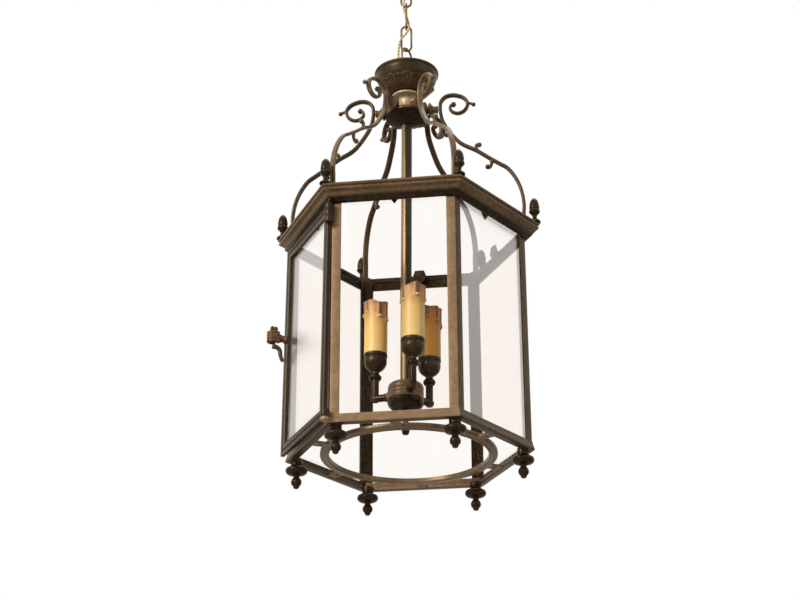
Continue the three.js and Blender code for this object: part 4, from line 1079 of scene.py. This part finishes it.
def addCornice():
    mesh = newMesh()
    z, front, riser = cornice["ledge"], body["postFace"], cornice["riser"]
    back = -cornice["ledgeReach"]
    outline = [(back, 0), (0.4, 0), (0.4, -9.8), (1.7, -9.8), (3.9, -9), (5.6, -7.4), (8.1, -5.4),
               (8.3, -3.8), (7.5, -3), (8.5, -2.4), (9.4, -1.0), (10.6, 0.2), (12.1, 1.1), (13.7, 1.6),
               (14.5, 2.4), (14.7, 3.6), (14.2, 4.7), (12.9, 5.4), (13.4, 6.0), (14.8, 6.4), (15.7, 7.6),
               (15.5, 9.0), (14.1, 10.0), (riser, 10.0), (riser, 3.5), (back, 3.5)]
    hexRail(mesh, soften([(front + out, z + up) for out, up in outline], 0.45, steps=2))
    # Painted light from above: outward faces near the top take the lighter bead bronze, and the rest keeps
    # the dark brown as painted shade
    for face in mesh.faces:
        middle = face.calc_center_median()
        if middle.z > z - 3.4 and middle.xy.length > front + 7:
            face.material_index = 1
    clipOut = front - body["postSheet"] - body["fit"] - body["pane"] - body["fit"]
    clip = soften([(0, z - 10), (5.5, z - 2.5), (8.5, z + 2), (5.5, z + 10), (-5.5, z + 10), (-8.5, z + 2),
                   (-5.5, z - 2.5)], 0.8, steps=3)
    inside = clipOut - cornice["clip"] + 0.5
    outside = front + back + 0.5
    for k in range(6):
        start = len(mesh.verts)
        slab(mesh, clip, -clipOut, -clipOut + cornice["clip"], "Y")
        cuboid(mesh, (8.0, outside - inside, 3.0), (0, -(outside + inside) / 2, z + 1.75))
        lathe(mesh, [(0, 0), (2.2, 0), (2.0, 0.8), (1.0, 1.3), (0, 1.4)], 18,
              place=shift(0, -clipOut + cornice["clip"], z + 4.5) @ spin(-90, "X"))
        turnNew(mesh, start, 60 * k)
    top = door["tall"] / 2
    rod(mesh, door["pin"], top - door["pinLong"], top + 6, 0.4, 20, doorInLantern)
    finishes = [metals["brownBronze"], metals["beadBronze"]]
    dress("cornice", mesh, inLantern, finishes, "lantern", "cornice")


def addBaseRing():
    mesh = newMesh()
    webIn = body["postFace"] - body["postSheet"]
    foot, top = base["flange"], base["flange"] + base["flangeSheet"]
    out = webIn + base["web"]
    flare, webTop = out + base["flare"], base["webTop"]
    profile = [(webIn - base["reach"], foot), (flare - 0.6, foot), (flare, foot + 1.5),
               (out + 1.2, foot + 4.2), (out + 0.2, webTop - 3), (out, webTop), (webIn, webTop),
               (webIn, top), (webIn - base["reach"], top)]
    hexRail(mesh, soften(profile, 0.5, steps=2))
    tip = sideCurve([(2.4, 0), (3.3, 1.2), (3.6, 2.6), (5.2, 4.4), (6.0, 7.2), (5.2, 10.2), (3.6, 12.4),
                     (3.3, 13.4)], 4)
    disc = sideCurve([(3.7, 14.2), (6.2, 15.6), (9.5, 16.6), (11.6, 18.2), (12.4, 20.2), (12.3, 21.6),
                      (11.3, 23.4), (8.0, 24.6), (4.4, 25.4)], 3)
    drop = [(0, 0)] + tip + disc + [(4.4, 26.6), (0, 26.6)]
    rails = set(mesh.faces)
    for k in range(6):
        at = spin(60 * k) @ shift(base["dropCircle"], 0, 0)
        lathe(mesh, drop, 36, place=at)
        rod(mesh, base["boss"], base["bossZ"], top, 0.6, 28, at)
    for face in set(mesh.faces) - rails:
        face.material_index = 1
    paintFrontLight(mesh, rails, inLantern)
    hingeAt = doorInLantern @ Vector((0, 0, -door["tall"] / 2))
    reach = math.hypot(hingeAt.x, hingeAt.y)
    start = webIn / cos30 + 0.5
    towards = spin(door["corner"])
    earTop, earFoot = base["earTop"], base["earTop"] - base["earTall"]
    cuboid(mesh, (reach - start, 2 * door["barrel"] - 1.4, base["earTall"] - 0.3),
           ((reach + start) / 2, 0, (earTop + earFoot) / 2), towards)
    rod(mesh, door["barrel"], earFoot, earTop, 0.5, 28, Matrix.Translation(towards @ Vector((reach, 0, 0))))
    pin, low = door["pin"], -door["tall"] / 2 - door["footGap"]
    high = low + door["pinLong"]
    lathe(mesh, [(0, low - 2), (pin, low - 2), (pin, high - 0.4), (pin - 0.4, high), (0, high)], 20,
          place=doorInLantern)
    dress("baseRing", mesh, inLantern, litAndShadedBronzes, "lantern", "base_ring")


def addBaseCircle():
    mesh = newMesh()
    r, inner = circle["radius"], circle["radius"] - circle["wide"]
    mid = base["flange"] + base["flangeSheet"] / 2
    foot, top = mid - circle["tall"] / 2, mid + circle["tall"] / 2
    profile = [(inner, foot + 1.2), (inner + 1.2, foot), (inner + 3, foot), (inner + 4, foot + 1),
               (r - 1, foot + 1), (r, foot + 2), (r, top), (inner, top)]
    lathe(mesh, soften(profile, 0.5, steps=2), 144)
    tabWide, tabTall = circle["tab"]
    start, end = r - 3, body["postFace"] - body["postSheet"] - base["reach"] - body["fit"]
    for k in range(6):
        around = spin(60 * k + 30)
        cuboid(mesh, (end - start, tabWide, tabTall - 0.2), ((end + start) / 2, 0, mid), around)
        head = around @ shift(r + 5.5, 0, mid - tabTall / 2)
        lathe(mesh, [(0, 0.1), (2.6, 0.1), (2.5, -0.5), (1.6, -1.2), (0, -1.5)], 20, place=head)
    dress("baseCircle", mesh, inLantern, metals["paleBronze"], "lantern", "base_circle")


def addPost(index):
    mesh = newMesh()
    corner = body["postFace"] / cos30
    innerR = (body["postFace"] - body["postSheet"]) / cos30
    leg, sheet = body["postLeg"], body["postSheet"]
    endX, endY = corner - leg * 0.5, leg * cos30
    backX, backY = endX - sheet * cos30, endY - sheet * 0.5
    outline = [(corner, 0), (endX, endY), (backX, backY), (innerR, 0), (backX, -backY), (endX, -endY)]
    slab(mesh, soften(outline, 0.45), body["postFoot"], body["postTop"], "Z")
    place = inLantern @ spin(60 * index)
    paintFrontLight(mesh, mesh.faces, place)
    # Faces turned in toward the axis take the darkest bronze as painted shade
    for face in mesh.faces:
        if face.normal.x < -0.3:
            face.material_index = 1
    dress(f"post{index + 1}", mesh, place, litAndShadedBronzes, "lantern", f"post_{index + 1}")


def addAcorn(index):
    mesh = newMesh()
    kernel = sideCurve([(5.3, 16.2), (5.9, 18.6), (5.7, 22), (4.7, 27), (2.9, 30.2), (1.0, 31.9)], 4)
    stand = [(0, 0), (6.9, 0), (6.9, 1.5), (5.6, 2.6), (4, 3.7), (2.8, 5.4), (2.6, 7.2), (3.0, 9.2),
             (4.8, 11.4), (6.4, 13.3), (6.5, 14.4), (6.1, 15.6)]
    place = inLantern @ spin(60 * index) @ shift(acorn["circle"], 0, acorn["foot"])
    lathe(mesh, stand + kernel + [(0, 32.2)], 36)
    dress(f"acorn{index + 1}", mesh, place, metals["brownBronze"], "lantern", f"acorn_{index + 1}",
          crease=50)


for maker in (addCornice, addBaseRing, addBaseCircle):
    maker()
for index in range(6):
    addPost(index)
    addAcorn(index)
print("body made")


# A plate of glass with a wide ground border on its outer face; inside and outside are places on Y
def bevelledPane(mesh, low, high, inside, outside):
    step = math.copysign(body["bevelDeep"], outside - inside)

    def rect(inset, y):
        return [mesh.verts.new((x, y, z)) for x, z in (
            (low[0] + inset, low[1] + inset), (high[0] - inset, low[1] + inset),
            (high[0] - inset, high[1] - inset), (low[0] + inset, high[1] - inset))]

    back = rect(0, inside)
    edge = rect(0, outside - step)
    front = rect(body["bevel"], outside)
    mesh.faces.new(back).material_index = 2
    bridge(mesh, back, edge)
    for face in bridge(mesh, edge, front):
        face.material_index = 1
    mesh.faces.new(front)


def addPane(index, normal):
    mesh = newMesh()
    outer = body["postFace"] - body["postSheet"] - body["fit"]
    inner = outer - body["pane"]
    half = inner * tan30 - 0.9
    bevelledPane(mesh, (-half, body["paneFoot"]), (half, body["paneTop"]), -inner, -outer)
    place = inLantern @ spin(normal + 90)
    dress(f"pane{index + 1}", mesh, place, glass, "lantern", f"pane_{index + 1}", crease=2)


def addDoor():
    mesh = newMesh()
    low = (door["gap"], -door["tall"] / 2)
    high = (door["gap"] + door["wide"], door["tall"] / 2)
    sheet, stile, bore = door["sheet"], door["stile"], door["bore"]
    sill, lap = stile - door["rebate"], -sheet + 2
    profile = [(0, -sheet), (0, 0), (4.2, 0), (4.5, -1.2), (6.1, -1.2), (6.4, 0), (stile, 0), (stile, lap),
               (sill, lap), (sill, -sheet)]
    doorRail(mesh, low, high, soften(profile, 0.4, steps=2))
    top, r = door["tall"] / 2, door["barrel"]
    foot, third = top - door["barrelTall"], door["barrelTall"] / 3
    barrel = [(bore, foot)]
    for k in range(3):
        z = foot + third * k
        barrel += [(r - 0.9, z), (r - 0.2, z + 0.6), (r, z + 1.6), (r, z + third - 1.6),
                   (r - 0.2, z + third - 0.7), (r - 0.9, z + third - 0.1)]
    barrel.append((bore, top - 0.1))
    lathe(mesh, barrel, 36)
    r, knuckleTop = door["knuckle"], -top + door["knuckleTall"]
    knuckle = [(bore, -top), (r, -top), (r, knuckleTop - 2), (r - 0.9, knuckleTop), (bore, knuckleTop)]
    lathe(mesh, soften(knuckle, 0.6), 32)
    dress("doorFrame", mesh, inDoor, metals["brownBronze"], "door", "door_frame")
    pane = newMesh()
    inset = sill + body["fit"]
    front = lap - body["fit"]
    bevelledPane(pane, (low[0] + inset, low[1] + inset), (high[0] - inset, high[1] - inset),
                 front - body["pane"], front)
    dress("doorPane", pane, inDoor, glass, "door", "door_glass", crease=2)


for index, normal in enumerate((270, 330, 30, 90, 150)):
    addPane(index, normal)
addDoor()
print("glass and door made")

# Latch: a cast hand round an upright bolt; X along the door, Y outward
latch = {"at": 132.25, "rise": 13.0, "out": 14.8, "bolt": 1.9, "fist": 13.5, "cuff": 4.35, "cuffLong": 7.4,
         "voxel": 0.38}
inLatch = inDoor @ shift(latch["at"], 0, latch["rise"])


# Fuses overlapping solids into one cast surface
def cast(name, mesh, place, material, rides, node):
    made = makeObject(name, mesh, place, material)
    fuse = made.modifiers.new("fuse", "REMESH")
    fuse.mode = "VOXEL"
    fuse.voxel_size = latch["voxel"] * mm
    fuse.use_smooth_shade = True
    relax = made.modifiers.new("relax", "SMOOTH")
    relax.factor = 0.5
    relax.iterations = 3
    shown = made.evaluated_get(bpy.context.evaluated_depsgraph_get())
    data = bpy.data.meshes.new_from_object(shown)
    made.modifiers.clear()
    made.data = data
    enrol(made, rides, node)


def addLatch():
    hand = newMesh()
    cuff, long, out = latch["cuff"], latch["cuffLong"], latch["out"]
    wrist = [(0, 0.3), (cuff + 0.9, 0.3), (cuff + 0.9, 1.9), (cuff - 0.1, 2.2), (cuff - 0.35, 5),
             (cuff, long - 1.6), (cuff + 0.3, long - 0.4), (cuff - 0.3, long + 0.3), (0, long + 0.3)]
    lathe(hand, wrist, 28, place=spin(-90, "X"))
    ball(hand, (4.6, 5.4, 6.2), (0, out - 4.6, 0))
    pitch = latch["fist"] / 4
    for k in range(4):
        z = (k - 1.5) * pitch
        finger = curveThrough([(-3.6, out - 5, z), (-4.7, out - 0.5, z), (-3.6, out + 4.3, z),
                               (0.2, out + 6.4, z), (3.6, out + 4.2, z), (4.0, out + 0.6, z)], 5)
        sweep(hand, finger, ring(pitch * 0.62, 12), Vector((0, 0, 1)),
              scale=lambda share: (1.0, 1.12 - 0.22 * share))
    thumb = curveThrough([(3.2, out - 5.4, 1.5), (4.6, out - 2.4, 3.4), (4.4, out + 0.8, 5.4)], 5)
    sweep(hand, thumb, ring(1.7, 12), Vector((0, 0, 1)))
    cast("latchHand", hand, inLatch, metals["copperBronze"], "door", "latch_hand")
    bolt = newMesh()
    foot = -latch["fist"] / 2
    rod(bolt, latch["bolt"], foot - 7, -foot + 3, 0.5, 24, shift(0, out, 0))
    for side in (-1, 1):
        ball(bolt, (2.4, 2.6, 3.6), (0, out + side * 2.1, -foot + 3.9))
    tail = curveThrough([(0, out + 0.6, foot - 4), (0, out - 4.5, foot - 4.8), (0, out - 7.6, foot - 7.8),
                         (0, out - 8.4, foot - 12.5), (0, out - 9.8, foot - 17.2),
                         (0, out - 11.8, foot - 21)], 6)
    sweep(bolt, tail, ring(2.5, 14), Vector((1, 0, 0)), scale=narrowing(1.15, 0.85))
    cast("latchBolt", bolt, inLatch, metals["bronze"], "bolt", "latch_bolt")


addLatch()
print("latch made")

# Stem and cluster
stem = {"radius": 6.35, "bore": 4.3, "foot": 106.0, "top": 472.3}
drum = {"top": 118.0, "radius": 20.4, "tall": 20.0, "sheet": 1.6, "bore": 6.65}
cap = {"top": 97.7, "radius": 21.0, "tall": 13.0, "sheet": 1.6, "hole": 4.3}
nut = {"top": 84.4, "radius": 5.2, "tall": 27.5, "stud": 4.0, "studLong": 26.0}
light = {"circle": 36.5, "angles": (170, 290, 50), "tubeZ": 104.0, "tube": 4.25, "tubeIn": 14.0,
         "ringR": 7.2, "ringTall": 8.0, "ringRise": 22.0, "armTop": 136.0, "ball": 13.1, "ballZ": 149.4,
         "ballSheet": 1.4, "neck": 5.0, "lip": 13.6, "lipZ": 153.33, "lipTop": 158.03, "nipple": 2.7,
         "holder": 9.5, "holderTall": 48.0, "holderDrop": 10.0, "socket": 7.0, "thread": 0.35, "pitch": 1.2}
sleeve = {"radius": 13.35, "sheet": 1.85, "foot": 158.33, "tall": 66.0, "rows": 44, "steps": 120,
          "lip": 0.5, "lipLong": 3.0, "sag": 0.12}


def addStem():
    mesh = newMesh()
    wall = [(stem["bore"], stem["foot"]), (stem["radius"], stem["foot"]), (stem["radius"], stem["top"]),
            (stem["bore"], stem["top"])]
    lathe(mesh, soften(wall, 0.4), 48)
    dress("stem", mesh, inCluster, metals["stemBrass"], "lantern", "stem")


def addDrum():
    mesh = newMesh()
    top, r, foot = drum["top"], drum["radius"], drum["top"] - drum["tall"]
    inner, tube = r - drum["sheet"], light["tube"]
    profile = [(drum["bore"], top), (r - 6, top), (r - 3.2, top - 0.6), (r - 1.2, top - 2.2),
               (r - 0.1, top - 4.8), (r, top - 8.6), (r - 0.7, top - 9.2), (r - 0.7, top - 9.8),
               (r, top - 10.4), (r, top - 13.4), (r - 0.5, top - 13.8), (r - 0.5, top - 14.2),
               (r, top - 14.6), (r, foot + 2.6), (r + 0.4, foot + 2.0), (r + 0.4, foot + 0.5), (r, foot),
               (inner, foot), (inner, top - 5), (inner - 3, top - 2.2), (drum["bore"], top - 2.2)]
    lathe(mesh, soften(profile, 0.35, steps=2), 72)
    flange = soften([(tube + 0.3, 0), (tube + 2.3, 0), (tube + 2.0, 1.9), (tube + 0.3, 2.3)], 0.4)
    for angle in light["angles"]:
        at = spin(angle) @ shift(r - 1.0, 0, light["tubeZ"]) @ spin(90, "Y")
        lathe(mesh, flange, 28, place=at)
    dress("drum", mesh, inCluster, metals["paleBronze"], "lantern", "cluster_drum")


def addCap():
    mesh = newMesh()
    top, r, tall, sheet = cap["top"], cap["radius"], cap["tall"], cap["sheet"]
    foot = top - tall
    outer = sideCurve([(r, top - 2.6), (r * 0.93, top - tall * 0.5), (r * 0.64, foot + 1.4), (r * 0.4, foot)])
    inner = [(out - sheet, up + sheet * 0.8) for out, up in reversed(outer)]
    profile = [(r - 0.3, top), (r, top - 0.4)] + outer + [(cap["hole"], foot), (cap["hole"], foot + sheet)]
    lathe(mesh, profile + inner + [(r - sheet, top)], 72)
    dress("cap", mesh, inCluster, metals["darkBronze"], "lantern", "cluster_cap")


def addNut():
    mesh = newMesh()
    top, r = nut["top"], nut["radius"]
    tip, studTop = top - nut["tall"], top + nut["studLong"]
    profile = [(0, tip), (r * 0.35, tip), (r * 0.6, tip + 0.5), (r * 0.76, tip + 1.8), (r * 0.9, tip + 5.2),
               (r, tip + 7), (r, tip + 10.5), (r * 0.75, tip + 12), (r * 0.62, tip + 14), (r * 0.66, top - 7),
               (r * 0.95, top - 4), (r * 1.3, top - 2), (r * 1.3, top), (nut["stud"], top),
               (nut["stud"], studTop), (0, studTop)]
    lathe(mesh, soften(profile, 0.4, closed=False, steps=2), 36)
    dress("nut", mesh, inCluster, metals["darkBronze"], "lantern", "cluster_nut")


def addCandleArm(index, place):
    mesh = newMesh()
    far, z, tube = light["circle"], light["tubeZ"], light["tube"]
    along = shift(0, 0, z) @ spin(90, "Y")
    start, tip = light["tubeIn"], far + tube - 0.2
    lathe(mesh, [(0, start), (tube, start), (tube, far + tube * 0.4), (tube - 0.5, tip), (0, tip)], 28,
          place=along)
    heel, top = z - tube + 0.2, light["armTop"]
    lathe(mesh, [(0, heel), (tube - 0.5, heel), (tube, z - tube * 0.4), (tube, top), (0, top)], 28,
          place=shift(far, 0, 0))
    start, end = drum["radius"] + 2.4, drum["radius"] + 4.2
    collet = [(tube - 0.5, start), (tube + 0.55, start), (tube + 0.55, end), (tube - 0.5, end)]
    lathe(mesh, soften(collet, 0.3), 28, place=along)
    r, tall = light["ringR"], light["ringTall"]
    profile = [(0, 0), (r - 2.0, 0), (r - 0.9, tall * 0.12), (r, tall * 0.38), (r, tall * 0.56),
               (r - 0.9, tall * 0.74), (tube + 0.9, tall * 0.86), (tube + 0.4, tall), (0, tall)]
    lathe(mesh, soften(profile, 0.5, closed=False, steps=2), 36,
          place=shift(far, 0, z + light["ringRise"]))
    dress(f"candleArm{index}", mesh, place, metals["brownBronze"], "lantern", f"candle_arm_{index}",
          crease=44)


def addCandleCup(index, place):
    mesh = newMesh()
    r, z, lipZ = light["ball"], light["ballZ"], light["lipZ"]

    def arc(radius, first, last, count):
        angles = [math.radians(first + (last - first) * k / count) for k in range(count + 1)]
        return [(radius * math.cos(a), z + radius * math.sin(a)) for a in angles]

    foot, top = light["armTop"] + body["fit"], light["lipTop"]
    hole, mouth = light["nipple"] + body["fit"], light["holder"] + body["fit"]
    neck, lip, sheet = light["neck"], light["lip"], light["ballSheet"]
    profile = [(hole, foot), (neck - 0.4, foot), (neck, foot + 0.5)] + arc(r, -62, 14, 18)
    profile += [(lip - 1.5, lipZ - 0.3), (lip - 1.4, lipZ + 0.2), (lip - 0.4, lipZ + 0.7), (lip, lipZ + 1.3),
                (lip, top - 0.6), (lip - 0.5, top), (mouth, top), (mouth, lipZ)]
    profile += arc(r - sheet, 0, -60, 8) + [(hole, z - r + sheet + 0.6)]
    lathe(mesh, profile, 56, place=shift(light["circle"], 0, 0))
    dress(f"candleCup{index}", mesh, place, metals["ballBronze"], "lantern", f"candle_cup_{index}")


# Runs of wax down each sleeve: degrees round it from the side that faces the camera, its start and
# length below the top, its width and how far it stands out
runs = {
    1: [(-80, 1, 19, 3.0, 2.2), (-44, 2, 14, 2.8, 1.8), (20, 3, 19, 4.0, 2.4), (64, 4, 22, 3.8, 2.4),
        (120, 2, 14, 3.0, 1.8), (175, 3, 17, 3.4, 2.0), (232, 2, 12, 2.8, 1.8)],
    2: [(-84, 3, 18, 3.0, 2.0), (-50, 1, 20, 3.4, 2.3), (20, 0, 17, 5.0, 2.7), (80, 1, 19, 3.0, 2.1),
        (130, 2, 13, 3.0, 1.8), (180, 2, 18, 3.4, 2.0), (225, 3, 12, 2.8, 1.8)],
    3: [(-60, 2, 16, 3.0, 1.9), (-8, 3, 13, 3.2, 2.0), (40, 2, 19, 3.6, 2.1), (78, 2, 26, 3.2, 2.3),
        (128, 3, 14, 3.0, 1.8), (190, 2, 16, 3.2, 2.0), (236, 2, 12, 2.8, 1.8)],
}
viewAngle = view["azimuth"] - 90


def addSleeve(index, turned, place):
    mesh = newMesh()
    r, sheet, foot, tall = sleeve["radius"], sleeve["sheet"], sleeve["foot"], sleeve["tall"]
    rowCount, steps = sleeve["rows"], sleeve["steps"]
    shoulder = r - 0.1  # what lies inside this is the sleeve's rim and bore
    rows = [(r, foot + tall * k / rowCount) for k in range(rowCount + 1)]
    profile = [(r - sheet, foot)] + rows + [(r - sheet * 0.5, foot + tall + 0.3), (r - sheet, foot + tall)]
    marks = {}

    def edge(angle):
        return -2.7 + 1.5 * math.sin(2 * angle + index - 1) + 0.9 * math.sin(5 * angle + 2 * (index - 1))

    def shape(radius, height, angle):
        up = (height - foot) / tall
        if radius < shoulder:
            return radius, height + (edge(angle) if up > 0.5 else 0)
        down = (1 - up) * tall
        run, beadGlint, stand = 0.0, 0.0, 0.0
        for degrees, start, length, wide, out in runs[index]:
            around = (angle - math.radians(viewAngle - turned + degrees) + math.pi) % turn - math.pi
            across = around * r / wide
            if abs(across) > 1.6:
                continue
            along = (down - start) / length
            if -0.4 < along < 1.15:
                width = math.exp(-(across * (1.15 - 0.25 * min(max(along, 0), 1))) ** 2 * 2.7)
                fade = min(1, max(0, (1.12 - along) * 7)) * min(1, max(0, (along + 0.4) * 3))
                drop = math.exp(-((along - 0.95) / 0.12) ** 2)
                relief = width * fade * (0.62 + 0.5 * drop)
                stand = max(stand, relief * out)
                run = max(run, width * fade)
                # Where the painted highlight goes, on the bead at the run's end
                beadGlint = max(beadGlint, width * fade * math.exp(-((along - 0.93) / 0.09) ** 2))
        thick = sleeve["lip"] * math.exp(-down / sleeve["lipLong"])
        sag = sleeve["sag"] * noise.noise(Vector((math.cos(angle) * 2, math.sin(angle) * 2, height * 0.12)))
        marks[(round(height, 3), round(angle, 4))] = (run, beadGlint)
        return radius + stand + thick + sag, height + edge(angle) * max(0.0, up) ** 3

    runLayer = mesh.verts.layers.float.new("run")
    beadGlintLayer = mesh.verts.layers.float.new("beadGlint")
    columns = lathe(mesh, profile, steps, shape)
    for k, column in enumerate(columns):
        angle = turn * k / steps
        for (radius, height), vert in zip(profile, column):
            run, beadGlint = marks.get((round(height, 3), round(angle, 4)), (0.0, 0.0))
            if radius > shoulder:
                vert[runLayer] = run
                vert[beadGlintLayer] = beadGlint
    mesh.transform(shift(light["circle"], 0, 0))
    wax = agedWax(f"wax{index}", lanternFoot + foot * mm, waxLook["shades"][index - 1])
    dress(f"sleeve{index}", mesh, place, wax, "lantern", f"candle_sleeve_{index}", crease=70)


def addHolder(index, place):
    mesh = newMesh()
    top = sleeve["foot"] + sleeve["tall"] - light["holderDrop"]
    foot = top - light["holderTall"]
    seat = light["ballZ"] - light["ball"] + light["ballSheet"] + 2.2
    low = light["armTop"] + 0.6
    r, nipple = light["holder"], light["nipple"]
    shell = [(0, low), (nipple, low), (nipple, seat), (nipple + 2.5, seat), (nipple + 2.5, seat + 1.8),
             (nipple + 0.9, seat + 2.4), (nipple + 0.9, foot - 3), (r - 1, foot - 0.4), (r, foot + 1),
             (r, top - 2), (r - 0.8, top), (light["socket"] + 0.4, top)]
    thread = [(light["socket"] + light["thread"] * (k % 2), top - 0.6 - k * light["pitch"])
              for k in range(14)]
    contact = [(6.8, top - 22), (2.0, top - 22), (1.6, top - 20.6), (0, top - 20.4)]
    columns = lathe(mesh, shell + thread + contact, 40, place=shift(light["circle"], 0, 0))
    liner = {vert for column in columns for vert in column[len(shell):]}
    for face in mesh.faces:
        if all(vert in liner for vert in face.verts):
            face.material_index = 1
    finishes = [holderBlack, metals["linkBrass"]]
    dress(f"holder{index}", mesh, place, finishes, "lantern", f"lampholder_{index}")


for maker in (addStem, addDrum, addCap, addNut):
    maker()
for index, angle in enumerate(light["angles"], 1):
    place = inCluster @ spin(angle)
    addCandleArm(index, place)
    addCandleCup(index, place)
    addSleeve(index, angle, place)
    addHolder(index, place)
print("cluster made")

# Twisted flex: [along the first link's plane, across it, height under the ceiling]
flex = {"radius": 1.5, "waist": 0.72, "lobe": 0.7, "sides": 20, "lay": 9.0, "step": 0.5}
footOfLantern = lanternFoot / mm
linkMiddles = [link["firstTop"] - link["long"] / 2 - k * link["pitch"] for k in range(3)]
jointHeights = [hook["barZ"]]
jointHeights += [link["firstTop"] - link["long"] + link["wire"] / 2 - k * link["pitch"] for k in range(3)]


def flexRoute():
    beside = link["wire"] / 2 + flex["radius"] + 0.45
    clear = hook["wire"] + flex["radius"] + 0.5
    bar, out = hook["barZ"], rose["outlet"]
    low = -rose["depth"]
    mid, at = linkMiddles, jointHeights[1:]
    plateTop = footOfLantern + loop["plateTop"]
    inPlate, inCollar, inHub = loop["plateZ"], collar["foot"] + 4, hub["foot"]
    return [
        (out, 0, low + 12), (out, 0, low - 2), (out - 2, 0.6, low - 11), (out - 7, 2.6, hook["bendTop"] - 5),
        (clear + 2, beside + 0.8, bar + 8), (clear + 0.6, beside + 0.4, bar), (clear - 0.8, beside, bar - 5),
        (0.3, 0.2, mid[0]), (-beside, -beside, at[0] + 3.5), (-beside - 0.2, -beside, at[0] - 3.5),
        (0, -2.2, mid[1]), (beside + 0.1, -beside, at[1] + 3.5), (beside, -beside - 0.1, at[1] - 2),
        (-1.5, -beside - 0.2, at[1] - 10.5), (-7, -beside - 0.3, at[1] - 18), (-9.6, -2.8, at[2] + 2),
        (-9.9, -1.4, at[2] - 10), (-9.4, -0.6, plateTop + 26), (-6.8, 0, plateTop + 15),
        (-1.8, 0, plateTop + 7.5), (0, 0, plateTop + 1.5), (0, 0, footOfLantern + inPlate),
        (0, 0, footOfLantern + inCollar), (0, 0, footOfLantern + inHub), (-0.6, 0, footOfLantern + 420),
        (-1.6, 0.2, footOfLantern + 300), (-3.0, 0.4, footOfLantern + 123),
    ]


def addFlex():
    smooth = curveThrough(flexRoute(), 24)
    path = [smooth[0]]
    for spot in smooth[1:]:  # even steps along the route
        while (spot - path[-1]).length >= flex["step"]:
            path.append(path[-1] + (spot - path[-1]).normalized() * flex["step"])
    twist = turn * flex["step"] / flex["lay"]
    cuts = [None] + linkMiddles + [None]
    names = ["flex_rose", "flex_upper", "flex_middle", "flex_lower"]
    angles = [turn * k / flex["sides"] for k in range(flex["sides"])]
    swell = [abs(math.cos(angle)) ** flex["lobe"] for angle in angles]  # 1 on the two cores
    section = []
    for angle, share in zip(angles, swell):
        r = flex["waist"] + (flex["radius"] - flex["waist"]) * share
        section.append((r * math.cos(angle), r * math.sin(angle)))
    for k, name in enumerate(names):
        top, foot = cuts[k], cuts[k + 1]
        first = 0 if top is None else next(i for i, p in enumerate(path) if p.z <= top)
        last = len(path) - 1 if foot is None else next(i for i, p in enumerate(path) if p.z <= foot)
        mesh = newMesh()
        c, s = math.cos(twist * first), math.sin(twist * first)
        turned = [(a * c - b * s, a * s + b * c) for a, b in section]
        grooveShade = mesh.verts.layers.float.new("grooveShade")
        for around in sweep(mesh, path[first:last + 1], turned, twist=twist):
            for share, vert in zip(swell, around):
                vert[grooveShade] = 1 - share
        made = makeObject(f"{name}Braid", mesh, inChain, flexGold, crease=80)
        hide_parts(name)
        joint = jointHeights[k] * mm
        joint + 0.010
        joint - 0.010
        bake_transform(made)


addFlex()
print("flex made")

# Studio: white all round for the eye and for reflections, soft plain light for the rest
studio = {
    "floorZ": -1.95,
    "floorSize": 14.0,
    "floorThick": 0.02,
    "floorColor": (0.80, 0.79, 0.78),
    "speckle": 1.04,
    "fill": 0.20,
    "lamps": {
        "key": {"spot": (-2.2, -3.0, 0.9), "size": 1.6, "power": 140.0},
        "side": {"spot": (2.6, -1.2, 0.2), "size": 1.4, "power": 5.0},
        "top": {"spot": (0.3, 0.4, 2.6), "size": 2.2, "power": 36.0},
    },
    "aim": (0, 0, -0.45),
}


def addFloor():
    mesh = newMesh()
    size, thick, color = studio["floorSize"], studio["floorThick"], studio["floorColor"]
    cuboid(mesh, (size, size, thick), (0, 0, 0))
    finish = Finish("floorPaint")
    speckle = finish.noise(60.0, 3.0)
    paint = finish.coat({
        "Base Color": finish.mix(speckle, color, tuple(c * studio["speckle"] for c in color)),
        "Roughness": 0.8,
    })
    place = shift(0, 0, studio["floorZ"] - thick / 2)
    floor = makeObject("floor", mesh, place, paint)


# Full white where the camera, a reflection or the glass looks at it, and a dim fill for all else
def addSky():
    world = bpy.data.worlds.new("studio")
    bpy.context.scene.world = world
    sky = Finish("sky", world)
    camera, glossy, through = [sky.node("ShaderNodeLightPath", out=f"Is {kind} Ray")
                               for kind in ("Camera", "Glossy", "Transmission")]
    strength = (camera | glossy | through) * (1 - studio["fill"]) + studio["fill"]
    values = {"Color": (1.0, 1.0, 1.0), "Strength": strength}
    sky.surface(sky.node("ShaderNodeBackground", None, values))


def addLamps():
    middle = Vector(studio["aim"])
    for name, lamp in studio["lamps"].items():
        data = bpy.data.lights.new(name, "AREA")
        data.shape = "DISK"
        data.size = lamp["size"]
        data.energy = lamp["power"]
        made = bpy.data.objects.new(name, data)
        bpy.context.scene.collection.objects.link(made)
        aim = (middle - Vector(lamp["spot"])).to_track_quat("-Z", "Y")
        made.matrix_world = Matrix.Translation(lamp["spot"]) @ aim.to_matrix().to_4x4()


for maker in (addFloor, addSky, addLamps):
    maker()
bpy.context.scene.view_settings.view_transform = "Standard"
print("studio made")
